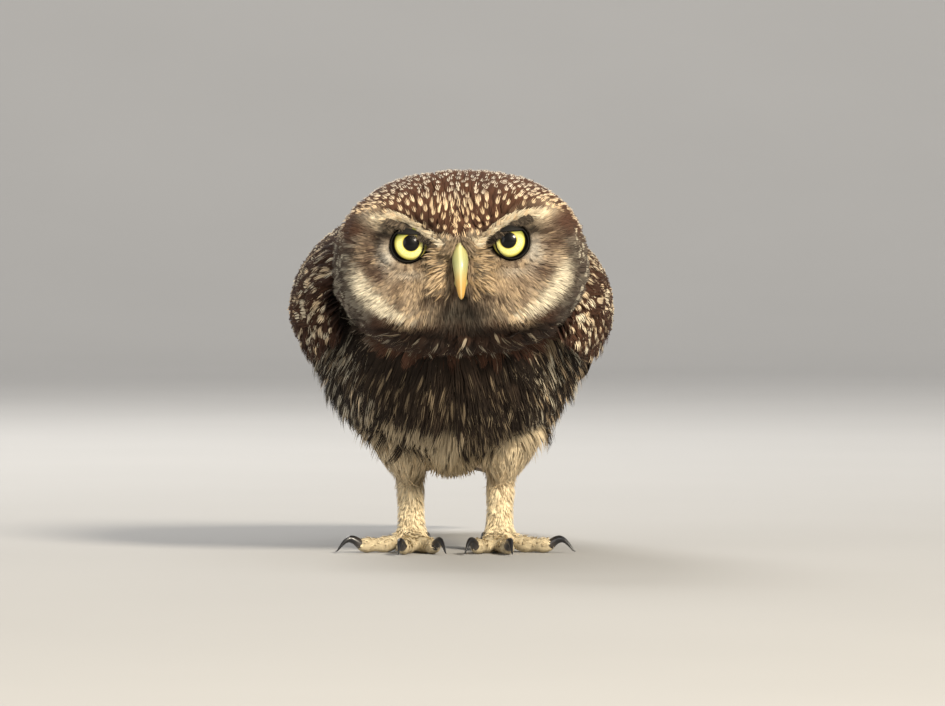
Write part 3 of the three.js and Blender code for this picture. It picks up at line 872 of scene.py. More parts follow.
def bill_finish():
    """Bill horn along its length: dark olive at the root, olive yellow, olive, then an orange tip, with a
    paler ridge, a darker cere, and painted shade in the nostril pits."""
    f = Finish("bill_horn")
    root, high, low, tip = (0.10, 0.095, 0.065), (0.52, 0.46, 0.16), (0.36, 0.36, 0.15), (0.58, 0.33, 0.07)
    ridge, pit = (0.75, 0.72, 0.45), (0.03, 0.028, 0.02)
    across, up, _ = f.split(f.read("vane", "Vector"))
    grain = f.noise(f.joined(across * 6, up * 3), 1.0, 3.0)
    colour = f.colour(high, low, (up + (grain - 0.5) * 0.3).step(0.3, 0.65))
    colour = f.colour(root, colour, (up + (grain - 0.5) * 0.2).step(0.22, 0.45))
    colour = f.colour(colour, tip, (up + (grain - 0.5) * 0.2).step(0.68, 0.95))
    colour = f.colour(colour, ridge, (1 - across.abs().step(0.0, 0.35)) * up.step(0.15, 0.4) * 0.45)
    # pit darkens the cere, its own colour, and the nostrils with painted shade
    colour = f.colour(colour, pit, f.read("pit"))
    return f.look(Base_Color=colour, Roughness=0.35 + grain * 0.15, Coat_Weight=0.25, Coat_Roughness=0.2,
                  Normal=f.bumped(grain, 0.0001, 0.4))


def claw_finish():
    """Claws: black horn, greyer at the root, with fine lines along it."""
    f = Finish("claw_horn")
    grey, black = (0.06, 0.05, 0.045), (0.008, 0.008, 0.01)
    across, up, _ = f.split(f.read("vane", "Vector"))
    lines = f.noise(f.joined(across * 14, up * 2), 1.0, 2.0)
    colour = f.colour(grey, black, (up + lines * 0.3).step(0.1, 0.5))
    return f.look(Base_Color=colour, Roughness=0.26 + lines * 0.2, Coat_Weight=0.3, Coat_Roughness=0.15,
                  Normal=f.bumped(lines, 0.0001, 0.4))


def eye_finish():
    """Eye by the angle from its axis, off, in iris radii: black pupil, lemon iris with fine rays, amber round
    the pupil, olive towards its edge, painted shade in dark green at its top under the brow, and a black rim."""
    f = Finish("eye")
    lemon, pale_lemon, olive = (1.0, 0.91, 0.20), (1.0, 0.98, 0.46), (0.42, 0.36, 0.02)
    painted_shade_green, amber = (0.15, 0.17, 0.03), (0.45, 0.36, 0.02)
    pupil, rim = (0.002, 0.002, 0.002), (0.003, 0.003, 0.003)
    x, z, off = f.split(f.read("vane", "Vector"))
    rays = f.noise(f.joined(x * 9, z * 9), 1.6, 4.0)
    iris = f.colour(lemon, pale_lemon, rays.step(0.3, 0.7))
    iris = f.colour(iris, olive, (off + (rays - 0.5) * 0.16).step(0.78, 1.0) * 0.8)
    # painted shade: the iris darkens to dark green towards its top, where the brow overhangs it
    iris = f.colour(iris, painted_shade_green, (z + off * 0.1).step(-0.05, 0.65) * 0.9)
    iris = f.colour(iris, amber, (1 - off.step(0.47, 0.56)) * 0.7)
    colour = f.colour(pupil, iris, off.step(0.44, 0.47))
    colour = f.colour(colour, rim, off.step(0.97, 1.05))
    return f.look(Base_Color=colour, Roughness=0.35, Coat_Weight=0.28, Coat_Roughness=0.02,
                  Specular_IOR_Level=0.1)


def lid_finish():
    """Lids: nearly black skin with fine grain."""
    f = Finish("lid_skin")
    fine = f.noise(f.place(), 1800.0, 3.0)
    colour = f.colour((0.003, 0.003, 0.003), (0.012, 0.011, 0.009), fine)
    return f.look(Base_Color=colour, Roughness=0.7, Specular_IOR_Level=0.2,
                  Normal=f.bumped(fine, 0.0002, 0.6))


# Colours, as linear light
CHOCOLATE = np.array([0.060, 0.029, 0.019])
DARK = np.array([0.018, 0.0115, 0.0075])
BUFF = np.array([0.70, 0.52, 0.32])
CREAM = np.array([0.86, 0.77, 0.58])
TAN = np.array([0.40, 0.27, 0.14])
SMOKE = np.array([0.40, 0.36, 0.28])
CHESTNUT = np.array([0.075, 0.034, 0.018])
UMBER = np.array([0.042, 0.027, 0.017])
# pale buff raised to the brightness of sunlit legs: partly the legs' own colour, partly painted light
SUNLIT_LEG_BUFF = np.array([0.95, 0.80, 0.53])
BELLY = np.array([0.66, 0.54, 0.36])
GREY_BROWN = np.array([0.075, 0.055, 0.042])
DISC_BROWN = np.array([0.115, 0.075, 0.050])
DISC_BUFF = np.array([0.46, 0.36, 0.25])
CHEEK_TAN = np.array([0.36, 0.26, 0.17])
PALE_GREY = np.array([0.60, 0.55, 0.46])
BUFF_GREY = np.array([0.50, 0.44, 0.35])
BROW_BUFF = np.array([0.70, 0.55, 0.36])
BRIDGE_GREY = np.array([0.16, 0.13, 0.11])
# the chin's dark brown is painted shade under the bill
CHIN_SHADED_BROWN = np.array([0.045, 0.033, 0.023])
DOT_GREY = np.array([0.66, 0.62, 0.54])
WARM_BUFF = np.array([0.60, 0.47, 0.30])
# Colours of the feathers under the brows: their grey brown darkened as painted shade under the brow
AWNING_SHADE = np.array([0.04, 0.03, 0.022])
AWNING_SHADED_BROWN = np.array([0.17, 0.13, 0.09])
BRISTLE_BROWN = np.array([0.10, 0.08, 0.06])

# Soft spots of the head's right and left halves alike: centre and radii across and up, and the lean of
# their axes
FACE_SPOTS = {
    "cheek": ((12, -6.5), (6.5, 4)),
    "patch below": ((21.8, -2.2), (2.6, 2.4)),
    "patch outside": ((24.3, 4.6), (1.9, 3.4)),
    "patch inside": ((16.5, -4.8), (3.4, 1.3), -0.5),
    "patch above": ((25.5, 10), (1.6, 2.4)),
    "lores": ((7.5, -1.6), (4.2, 5.0), 0.5),
    "beside the eye": ((19.6, 3.0), (2.1, 3.3)),
    "under the eye": ((14.0, -2.4), (4.0, 1.3)),
    "outer corner": ((19.2, 8.6), (3.2, 1.5), -0.1),
    "inner corner": ((7.9, 4.4), (1.4, 2.4), 0.5),
    # the band over each eye is partly dark feathers and partly painted shade under the brow
    "dark feathers and shade over the eye": ((13, 10.8), (5, 0.8)),
    "outer brow": ((22.2, 13.2), (3.7, 2.3), 0.25),
    "bridge": ((3.4, 6.6), (2.6, 1.5), 0.4),
    "top of the bill": ((0, 5.0), (1.7, 1.3)),
    # the chin's spot carries painted shade under the bill
    "chin": ((0, -12.8), (10.5, 4.2)),
    "streaks": ((13.5, -13.8), (4.5, 2.2), -0.3),
}


def blend(colour, other, share):
    """From a colour to another by a share for each place, held between 0 and 1."""
    return colour + (other - colour) * np.clip(share, 0, 1)[..., None]


def oval(x, z, centre, radii, lean=0.0):
    """A soft spot, 1 at its centre, with radii along its own leaning axes."""
    dx, dz = x - centre[0], z - centre[1]
    c, s = np.cos(lean), np.sin(lean)
    return bump(np.hypot((c * dx + s * dz) / radii[0], (c * dz - s * dx) / radii[1]), 1.0)


def brow_line(side):
    """The pale brow runs under the ridge: it rises steadily from the bridge to beyond the eye."""
    return 3.6 + 7.8 * smooth(-2, 21, side) + 1.4 * smooth(12, 21, side)


DISC = dict(x=8, z=1.5, wide=20.2, high=16.6)


def crescent_band(side, z):
    """(share, off) of the cream crescent along the lower and outer edge of the facial disc, an ellipse; off
    is 0 on it and negative inside."""
    turn = np.arctan2(DISC["z"] - z, side - DISC["x"])
    off = np.hypot((side - DISC["x"]) / DISC["wide"], (z - DISC["z"]) / DISC["high"]) - 1
    wide = 0.06 + 0.05 * bump(turn - 0.5, 0.4)
    return bump(off, wide) * smooth(-0.05, 0.3, turn) * (1 - smooth(1.1, 1.4, turn)), off


def head_paint(p):
    """The colour of the head's coat at a place: the crown's browns, and over them, one after another, the
    sides, disc, eye surrounds, brows, collar, chin, crescents and streaks. The chin, the line along the mouth
    and a band over each eye carry painted shade."""
    x, y, z = to_head(p).T
    side = np.abs(x)
    front = smooth(4, -12, y)
    spot = {name: oval(side, z, *place) * front for name, place in FACE_SPOTS.items()}
    eye_x, eye_z = side - EYE["x"], z - EYE["z"]
    eye_off, angle = np.hypot(eye_x, eye_z), np.arctan2(eye_z, eye_x)
    rays = mottle(vec(angle * 7, eye_off * 0.28, np.sign(x) * 3), 1.0, 1)
    soft = mottle(p, 2.6, 2)
    fine = mottle(p, 0.9, 3)
    colour = blend(CHOCOLATE * 1.35, CHESTNUT * 1.3, soft)

    # sides and back of the head: mottled grey brown with pale bars
    flank = smooth(12, 3, z) * smooth(21, 28, side)
    bars = smooth(0.45, 0.7, mottle(vec(x * 0.7, y * 0.7, z * 1.3), 1.6, 4))
    colour = blend(colour, blend(GREY_BROWN, SMOKE, bars * np.where(x < 0, 0.6, 0.25)), flank)

    # facial disc: grey buff with rays of brown
    band, disc_off = crescent_band(side, z)
    above = z - brow_line(side)
    disc = smooth(1.6, 0.2, above) * smooth(0.06, -0.05, disc_off * (side > DISC["x"]))
    disc = disc * front * smooth(-17.5, -14.5, z)
    face = blend(DISC_BROWN, DISC_BUFF, smooth(0.15, 0.85, rays) * 0.85)
    colour = blend(colour, blend(face, BUFF, (fine > 0.66) * 0.45), disc)
    colour = blend(colour, blend(CHEEK_TAN, BUFF, fine), spot["cheek"] * 0.75)

    # brown between the eye and the crescent
    patches = spot["patch below"] + 0.75 * spot["patch outside"]
    patches = patches + 0.55 * spot["patch inside"] + 0.5 * spot["patch above"]
    colour = blend(colour, CHOCOLATE * 1.15, patches * (0.55 + 0.6 * rays))

    # tan bristles beside the bill, and under them a brown line of painted shade where the mouth closes
    colour = blend(colour, blend(TAN * 0.62, BUFF * 0.6, fine * rays * 1.5), spot["lores"] * 1.05)
    # painted shade: a dark line beside the bill where the mouth closes
    gape_shade = bump(z + 7.6 + (side - 2) * 0.22, 0.9) * smooth(1.5, 3, side) * (1 - smooth(9, 13, side)) * front
    colour = blend(colour, CHOCOLATE * 0.8, gape_shade * 0.85)

    # pale grey outside each eye, dark corners, and a dark band over each eye: partly dark feathers, partly
    # painted shade under the brow
    colour = blend(colour, PALE_GREY, spot["beside the eye"] * (0.6 + 0.5 * rays))
    colour = blend(colour, BUFF_GREY, spot["under the eye"] * 0.6)
    corner = spot["outer corner"] + 0.9 * spot["inner corner"] + 0.8 * spot["dark feathers and shade over the eye"]
    colour = blend(colour, DARK * 0.7, corner + 0.4 * bump(eye_off - 4.8, 0.35) * front)

    # brows: a pale V from the bridge, a broad buff patch above and outside each eye
    brow = bump(above - 0.4, 0.6 + 0.05 * side) * smooth(2.5, 5, side) * (1 - smooth(17, 20, side))
    pale = 1.15 * brow * front + spot["outer brow"] * (0.55 + 0.6 * soft) + 0.8 * spot["bridge"]
    colour = blend(colour, blend(BROW_BUFF, CREAM, fine), pale)
    colour = blend(colour, BRIDGE_GREY, spot["top of the bill"] * 0.7)

    # the chestnut collar, the chin, whose dark brown is painted shade under the bill with pale streaks, then
    # the crescents and the streaks under them
    under = smooth(0.06, 0.16, disc_off) * smooth(2, -4, z) * smooth(24, 17, side) * front
    collar = np.clip(smooth(-15.0, -17.5, z) + under, 0, 1) * smooth(10, -5, y)
    colour = blend(colour, blend(CHESTNUT * 0.6, DARK, soft), collar)
    colour = blend(colour, blend(CHIN_SHADED_BROWN, SMOKE * 0.36, fine * soft), spot["chin"] * 1.1)
    colour = blend(colour, CREAM * (0.76 + 0.3 * fine)[:, None], band * front * 1.3)
    return blend(colour, BUFF * 1.12, spot["streaks"] * smooth(0.35, 0.6, fine) * 0.9)


def crown_marks(p, rng):
    """(marked, mark) of the head's larger feathers: long buff drops over the forehead that turn to small
    grey dots on top and behind, pale tips on the throat, and hardly any on the sides."""
    x, y, z = to_head(p).T
    side = np.abs(x)
    draw = rng.random((3, len(p)))
    top = np.clip(smooth(13, 22, z) + smooth(-8, 6, y), 0, 1)
    half = mix(0.43, 0.46, top) + 0.10 * (draw[0] - 0.5)
    middle = mix(0.76, 0.84, top)
    reach = mix(0.25, 0.10, top) + 0.05 * (draw[1] - 0.5)
    marked = blend(BUFF * 1.1, DOT_GREY, top * 0.85)
    nape = oval(side, z, (11, 4), (7, 9)) * smooth(10, 20, y)
    half = mix(half, 0.75, nape)
    reach = mix(reach, 0.2, nape)
    marked = blend(marked, CREAM * 0.9, nape)
    throat = smooth(-12, -16, z)
    half = mix(half, 0.26, throat)
    reach = mix(reach, 0.34, throat)
    middle = mix(middle, 0.6 + 0.3 * draw[1], throat)
    marked = blend(marked, blend(BUFF * 0.5, SMOKE * 0.7, draw[2]), throat)
    flank = smooth(13, 5, z) * smooth(20, 26, side)
    marked = blend(marked, SMOKE, flank)
    reach = mix(reach, 0.09, flank)
    half = mix(half, 0.8, flank)
    middle = middle - 0.25 * flank * draw[2]
    bare = np.clip(throat * (draw[0] > 0.24) + flank * (draw[0] > 0.45) + (1 - top) * (draw[1] > 0.95), 0, 1)
    return marked, np.stack([half * (1 - 0.93 * bare), middle, reach], 1)


def body_colours(p, normals, rng):
    """(ground, marked, mark) of the trunk: brown shafts on pale below, pale spots on brown above."""
    x, y, z = p.T
    draw = rng.random((5, len(p)))
    side = np.abs(x - TORSO["x"])
    above = smooth(-0.05, 0.4, normals[:, 2])
    patch = smooth(0.3, 0.72, mottle(p, 8.0, 5))
    dark_breast = smooth(23, 40, z + 0.12 * y - 0.04 * side + 8 * (patch - 0.5))
    flank = smooth(15, 25, side) * smooth(70, 58, z)
    low = smooth(48, 36, z)
    # the share of feathers that are pale with a brown shaft, against nearly black ones
    share = 0.04 + 0.08 * patch + 0.6 * flank * (0.35 + 0.9 * patch) + 0.3 * low + (1 - dark_breast)
    pale = blend(BUFF * 0.30, SMOKE * 1.25, flank * (x < 0) * (draw[2] > 0.25))
    pale = blend(pale, BUFF * 0.9, flank * ((x > 0) & (draw[2] > 0.3) | (draw[2] > 0.8)) * 0.8)
    pale = blend(pale, CREAM * 0.85, flank * (x > 0) * (draw[2] > 0.5))
    pale = blend(pale, BELLY * (0.75 + 0.35 * draw[2])[:, None], 1 - dark_breast)
    is_pale = draw[0] < share
    ground = np.where(is_pale[:, None], pale, blend(DARK, UMBER, patch * draw[3]))
    marked = np.where(is_pale[:, None], DARK * 1.3, pale * 0.8)
    half = np.where(is_pale, mix(0.16, 0.36, dark_breast) * (0.5 + 0.9 * draw[1]), 0.13 * (draw[1] > 0.6))
    half = half * (1 - smooth(0.7, 0.2, dark_breast) * (draw[4] > 0.2))
    middle = np.where(is_pale, 0.72, 0.8)
    reach = np.where(is_pale, 0.42, 0.25)
    # above: brown with soft pale spots
    ground = blend(ground, CHOCOLATE * (0.8 + 0.4 * draw[3])[:, None], above)
    marked = blend(marked, BUFF * 1.1, above)
    half = mix(half, 0.5, above)
    middle = mix(middle, 0.8, above)
    reach = mix(reach, 0.12, above)
    return ground, marked, np.stack([np.maximum(half, 0.01), middle, reach], 1)


def leg_colours(p, rng):
    """(ground, marked, mark) of the legs: buff, with faint marks a little darker or paler. The low buff is
    brightened as painted sunlight.
    """
    count = len(p)
    draw = rng.random((2, count))
    ground = blend(SUNLIT_LEG_BUFF, BELLY * 1.1, smooth(12, 24, p[:, 2]))
    ground = blend(ground, TAN, (draw[0] > 0.8) * 0.35)
    marked = ground * (0.78 + 0.4 * draw[1])[:, None]
    return ground, marked, np.tile([0.5, 0.8, 0.4], (count, 1))


def covert_colours(length, rng, share):
    """(ground, marked, mark) of wing coverts of these lengths: dark brown, and this share of them with one
    big soft pale spot near the tip."""
    draw = rng.random((4, len(length)))
    ground = blend(CHOCOLATE * 0.9, CHESTNUT * 0.9, draw[0])
    marked = blend(BUFF, CREAM * 0.85, draw[1])
    spotted = draw[2] < share
    half = np.where(spotted, 0.38 + 0.3 * draw[3], 0.02)
    reach = np.where(spotted, 1.0 + 0.9 * draw[0], 0.3) / length
    middle = 1 - np.minimum(3.0 + 1.6 * draw[1], 0.3 * length) / length
    return ground, marked, np.stack([half, middle, reach], 1)


# Skin
parts = skin_parts()
skin_piece = grown_together("skin", parts)
skin_points = vertices_of(skin_piece)
skin = Surface(skin_points, faces_of(skin_piece))


def skin_colours(points):
    """The coat's ground colour at each vertex of the skin, by the part that it belongs to."""
    rng = np.random.default_rng(5)
    vertex_normals = np.empty(len(points) * 3, np.float32)
    skin_piece.data.vertices.foreach_get("normal", vertex_normals)
    vertex_normals = vertex_normals.reshape(-1, 3).astype(float)
    head = head_paint(points)
    body = body_colours(points, vertex_normals, rng)[0]
    legs = leg_colours(points, rng)[0]
    on_head = smooth(4, -4, points[:, 1] + 30) * smooth(50, 58, points[:, 2])
    out = blend(body, head, on_head)
    return blend(out, legs, smooth(28, 22, points[:, 2]) * (np.abs(points[:, 1] - 3) < 30))


skin_piece.data.materials.append(bare_skin())
colour_attribute(skin_piece, "ground", skin_colours(skin_points))
flesh = ["head", "neck", "torso"] + [f"{part}_{side}" for side in SIDES for part in ("thigh", "shank")]
flesh += [f"toe_{toe}_{side}" for side in SIDES for toe in TOES]
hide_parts(*flesh)
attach(skin_piece, "root")

PLUMAGE = plumage()
VANES = vane_finish()


def dressed(piece, material):
    """Gives a piece its material and its body."""
    piece.data.materials.append(material)
    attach(piece, "root")


# Lie of the head's coat: away from the bridge of the bill, and away from each eye close to it
BRIDGE = np.array([0, -25.0, 2.6])


def head_flow(p):
    """The lie at each place: the sum of a way from the bridge, one from the near eye, one down at the chin
    and one back behind the face."""
    q = to_head(p)
    side = np.sign(q[:, 0] + 1e-6)
    eye = vec(side * EYE["x"], EYE["y"] - 6, EYE["z"])
    near_eye = bump(np.linalg.norm(q - eye, axis=1), 10.5) * (q[:, 1] < -8)
    flow = unit(q - BRIDGE) + unit(q - eye) * (2.2 * near_eye)[:, None]
    flow += vec(0, 0, -0.9) * (bump(np.hypot(q[:, 0], q[:, 2] + 6), 7) * (q[:, 1] < -10))[:, None]
    flow += vec(0, 0.5, 0) * (q[:, 1] > -10)[:, None]
    return turned(flow)


def turned(directions):
    """Directions of the head frame in the bird frame."""
    return in_head(directions) - in_head(np.zeros(3))


def in_face(p):
    """Places of the facial disc, below the brows."""
    q = to_head(p)
    side = np.abs(q[:, 0])
    return (q[:, 1] < -9) & (q[:, 2] < brow_line(side) + 0.4) & (q[:, 2] > -16) & (side < 28.5)


def clear_of_eyes(p):
    """Places outside the eyes' openings and the bill's root."""
    q = to_head(p)
    off = np.hypot(np.abs(q[:, 0]) - EYE["x"], q[:, 2] - EYE["z"])
    bill = (np.abs(q[:, 0]) < 2.0) & (q[:, 2] < 4.5) & (q[:, 2] > -8)
    return ((off > EYE["opening"] - 0.1) | (q[:, 1] > -10)) & ~(bill & (q[:, 1] < -15))


def face_tufts(name, roots, path, width, strands, rows, seed, ground, **shape):
    """Feathers of the face with no mark: its ellipse is too small to see."""
    count = len(roots)
    marked, mark = np.zeros((count, 3)), np.tile([0.01, 0.5, 0.01], (count, 1))
    piece = tufts(name, path, width, strands, rows, seed, ground, marked, mark, head_map(roots), **shape)
    dressed(piece, PLUMAGE)


def either_side(rng, count):
    """-1 or 1 at random, for the right or the left."""
    return np.where(rng.random(count) < 0.5, -1, 1)


def on_face(x, y, z):
    """(roots, normals) on the skin nearest to places of the head."""
    return skin.nearest(in_head(vec(x, y, z)))[:2]


def dress_face():
    """The short feathers of the disc, longest away from the eyes and beside the bill."""
    rng = np.random.default_rng(11)
    roots, normals = scattered(parts["head"], 0.7, 12, skin, lambda p: in_face(p) & clear_of_eyes(p))
    q = to_head(roots)
    side = np.abs(q[:, 0])
    eye_off = np.hypot(side - EYE["x"], q[:, 2] - EYE["z"])
    outward = smooth(6, 17, eye_off)
    lores = bump(np.hypot(side - 5.0, (q[:, 2] + 2) / 1.5), 4.0)
    length = mix(2.4, 4.6, outward) * rng.uniform(0.8, 1.2, len(roots)) + 1.6 * lores
    lift = mix(1.0, 2.2, outward) + 0.5 * lores
    flow = head_flow(roots) + rng.normal(0, 0.07, (len(roots), 3))
    path = laid(skin, roots, normals, lie_of(flow, normals), length, lift)
    face_tufts("face_feathers", roots, path, 0.68, 6, 3, 13, head_paint,
               spread=0.7, roundness=0.2, loose=0.15)


def dress_brows():
    """A ledge of pale feathers that sweeps out from the bridge along each brow and overhangs the eye."""
    rng = np.random.default_rng(15)
    count = 560
    side = rng.uniform(2.5, 20, count)
    sign = either_side(rng, count)
    z = brow_line(side) + rng.normal(0.2, 0.5, count)
    roots, normals = on_face(sign * side, -26.5, z)
    slope = brow_line(side + 1) - brow_line(side)
    flow = turned(vec(sign, 0.0, slope - 0.2)) + rng.normal(0, 0.08, (count, 3))
    length, lift = rng.uniform(2.6, 4.0, count), rng.uniform(0.9, 2.2, count)
    path = laid(skin, roots, normals, lie_of(flow, normals), length, lift)
    tone = blend(WARM_BUFF, CREAM * 0.95, rng.random(count))
    face_tufts("brow_feathers", roots, path, 0.5, 4, 3, 16, tone, loose=0.15)


def dress_awnings():
    """Short grey-brown feathers that hang from under each brow over the upper lid, painted dark as shade
    under the brow.
    """
    rng = np.random.default_rng(19)
    count = 900
    side = rng.uniform(EYE["x"] - 5.6, EYE["x"] + 6.4, count)
    sign = either_side(rng, count)
    z = brow_line(side) - rng.uniform(-0.2, 0.9, count)
    roots, normals = on_face(sign * side, -25.5, z)
    flow = turned(vec(sign * (0.5 + 0.05 * (side - EYE["x"])), -0.4, -0.8)) + rng.normal(0, 0.1, (count, 3))
    length = rng.uniform(1.1, 1.8, count)
    path = laid(skin, roots, normals, lie_of(flow, normals), length, rng.uniform(3.0, 4.4, count))
    # painted shade: the tones run from nearly black to a dark brown, for the shade under the brow
    tone = blend(AWNING_SHADE, AWNING_SHADED_BROWN, rng.random(count) ** 1.5)
    face_tufts("awning_feathers", roots, path, 0.5, 4, 3, 20, tone, loose=0.2)


def dress_eye_rims():
    """Short feathers that rise beside each eyeball, outside and below the lids, and turn outwards over the
    face."""
    rng = np.random.default_rng(25)
    count = 560
    sign = either_side(rng, count)
    spin = rng.uniform(-120, 55, count) * DEG
    look = vec(sign * np.sin(LID["look"]), -np.cos(LID["look"]), 0)
    across = vec(sign * np.cos(LID["look"]), np.sin(LID["look"]), 0)
    out = across * np.cos(spin)[:, None] + vec(0, 0, 1) * np.sin(spin)[:, None]
    centre = vec(sign * EYE["x"], EYE["y"], EYE["z"])
    far = rng.uniform(-0.25, 0.5, count)

    def at(forward, reach):
        """A place so far forward of the eye's centre, and so far out from its axis."""
        return in_head(centre + look * forward + out * (reach + far)[:, None])

    up = turned(unit(look + out * 0.4))
    path = (at(2.2, 5.7), at(4.7, 5.3), at(4.3, 7.2), up, up)
    face_tufts("eye_rim_feathers", path[0], path, 0.5, 4, 3, 26, lambda p: head_paint(p) * 0.85, loose=0.2)


def dress_bristles():
    """Fine bristles that start round the bill and sweep down and outwards over its base."""
    rng = np.random.default_rng(17)
    count = 520
    sign = either_side(rng, count)
    side, z = rng.uniform(1.4, 5.2, count), rng.uniform(-5.5, 4.8, count)
    # a quarter of them start on the bridge and hang over the top of the bill
    over = np.arange(count) < count // 4
    side, z = np.where(over, side * 0.42, side), np.where(over, rng.uniform(5.0, 7.6, count), z)
    roots, normals = on_face(sign * side, -26, z)
    down = np.where(over, -1.2, -0.9 + 0.09 * (z + 5))
    flow = turned(vec(sign * (0.35 + 0.14 * side), -0.1, down)) + rng.normal(0, 0.1, (count, 3))
    length = rng.uniform(3.2, 5.6, count) * np.where(over, 0.7, 1)
    lift = rng.uniform(1.6, 2.8, count) + over * 1.2
    path = laid(skin, roots, normals, lie_of(flow, normals), length, lift)
    tone = blend(TAN * 0.6, BUFF * 0.8, rng.random(count))
    tone = blend(tone, BRISTLE_BROWN, np.where(over, 0.6, (rng.random(count) < 0.22) * 0.8))
    face_tufts("bill_bristles", roots, path, 0.55, 3, 4, 18, tone, loose=0.2)


def dress_crown():
    """The larger feathers of the crown, the sides and the back of the head, longest on the nape, and ragged
    where they hang beside the face."""
    rng = np.random.default_rng(21)
    roots, normals = scattered(parts["head"], 1.38, 22, skin, lambda p: ~in_face(p) & clear_of_eyes(p))
    count = len(roots)
    x, y, z = to_head(roots).T
    side = np.abs(x)
    nape = smooth(2, 20, y)
    low = smooth(-12, -17, z)
    above_brow = np.where((y < -9) & (z > 0), z - brow_line(side), 20)
    length = mix(3.0, rng.uniform(5.2, 6.6, count), smooth(0, 7, above_brow)) + 7.0 * nape
    length = mix(length, rng.uniform(5, 15, count), low * (y < 4))
    hanging = np.maximum(low, smooth(21, 27, side) * smooth(5, -4, z) * (y < 4))
    length += rng.uniform(0, 4.5, count) * hanging * (1 - low)
    stray = rng.normal(0, 0.2, (count, 3)) * (0.25 + hanging)[:, None]
    lie = lie_of(head_flow(roots) + vec(0, 0.5 * nape, -0.4 * nape) + stray, normals)
    rise = 1 + rng.normal(0, 0.1, count) + rng.uniform(0, 0.35, count) * hanging
    path = laid(skin, roots, normals, lie, length, (2.3 + 1.8 * nape + 0.9 * low) * rise)
    marked, mark = crown_marks(roots + lie * (0.7 * length)[:, None], rng)
    tone = head_paint(roots + lie * (0.75 * length)[:, None] + normals * 2)
    width = 1.3 + 1.0 * nape + 0.7 * low
    piece = tufts("crown_feathers", path, width, 11, 3, 23, tone, marked, mark, head_map(roots), loose=0.07)
    dressed(piece, PLUMAGE)


# The trunk's coat lies back and down, and a little outwards on the breast
BODY_FLOW = np.array([0, 0.75, -0.62])


def body_flow(p):
    return np.tile(BODY_FLOW, (len(p), 1)) + vec(0.1 * np.sign(p[:, 0]) * smooth(10, -20, p[:, 1]), 0, 0)


def dress_body(name, keep, spacing, size, rows, strands, seed, lift):
    """Trunk feathers on the neck and torso where keep says. They are shorter and closer on the lower
    flanks, and hang between the legs."""
    rng = np.random.default_rng(seed)
    found = [scattered(parts[part], spacing, seed + k, skin, keep)
             for k, part in enumerate(("torso", "neck"))]
    roots, normals = (np.concatenate([f[k] for f in found]) for k in range(2))
    count = len(roots)
    lie = lie_of(body_flow(roots) + rng.normal(0, 0.07, (count, 3)), normals)
    vent = bump(roots[:, 0] - TORSO["x"], 7.5) * smooth(-0.3, -0.8, normals[:, 2])
    full = np.maximum(mix(0.6, 1.0, smooth(28, 46, roots[:, 2])), 0.95 * vent)
    length = size * full * rng.uniform(0.8, 1.2, count)
    ground, marked, mark = body_colours(roots + lie * (0.6 * length)[:, None], normals, rng)
    shoulder = smooth(26, 32, np.abs(roots[:, 0]))
    lifts = lift * full * rng.uniform(0.8, 1.2, count) + 2.0 * shoulder + 2.2 * vent
    path = laid(skin, roots, normals, lie, length, lifts)
    piece = tufts(name, path, size * 0.25, strands, rows, seed + 5, ground, marked, mark, body_map(roots),
                  loose=0.11, roundness=0.42)
    dressed(piece, PLUMAGE)


# Coat of the legs: spacing, length, half width, lift, and how far up it starts
LEG_COAT = {"thigh": (1.1, 6.0, 1.1, 2.0, LEG["thigh_end"] + 1.5), "shank": (0.72, 2.3, 0.5, 0.8, 0)}


def dress_legs():
    """Thigh feathers that lie close at their hem, and short ones on the shanks, all pointing down."""
    rng = np.random.default_rng(51)
    for kind, (spacing, size, wide, lift, low_end) in LEG_COAT.items():
        found = [scattered(parts[f"{kind}_{name}"], spacing, 52 + k, skin, lambda p: p[:, 2] > low_end)
                 for k, name in enumerate(SIDES)]
        roots, normals = (np.concatenate([f[k] for f in found]) for k in range(2))
        flow = np.tile([0, 0.12, -1.0], (len(roots), 1)) + rng.normal(0, 0.08, (len(roots), 3))
        length = size * rng.uniform(0.8, 1.2, len(roots))
        hem = smooth(LEG["thigh_end"] + 11, LEG["thigh_end"], roots[:, 2]) * (kind == "thigh")
        path = laid(skin, roots, normals, lie_of(flow, normals), length, lift * (1 - 0.6 * hem))
        ground, marked, mark = leg_colours(roots, rng)
        piece = tufts(f"{kind}_feathers", path, wide, 6, 3, 55, ground, marked, mark, leg_map(roots),
                      loose=0.16)
        dressed(piece, PLUMAGE)


def dress_toes():
    """Sparse bristles on the upper side of the toes, pointing to the claws."""
    rng = np.random.default_rng(57)
    roots, normals, flow = [], [], []
    for name, side in SIDES.items():
        for toe in TOES:
            part = parts[f"toe_{toe}_{name}"]
            at, up = scattered(part, 0.95, 58, skin, lambda p: p[:, 2] > TOE["axis"] + 0.1)
            heading = TOES[toe][0]
            roots.append(at)
            normals.append(up)
            flow.append(np.tile(toe_axis(side, heading)[1], (len(at), 1)))
    roots, normals, flow = (np.concatenate(each) for each in (roots, normals, flow))
    count = len(roots)
    lie = lie_of(flow + rng.normal(0, 0.2, (count, 3)), normals)
    length, lift = rng.uniform(1.3, 2.4, count), rng.uniform(0.35, 0.8, count)
    path = laid(skin, roots, normals, lie, length, lift, sink=0.15)
    ground, marked, mark = leg_colours(roots, rng)
    piece = tufts("toe_bristles", path, 0.3, 3, 2, 59, ground * 0.9, marked, mark, leg_map(roots), loose=0.2)
    dressed(piece, PLUMAGE)


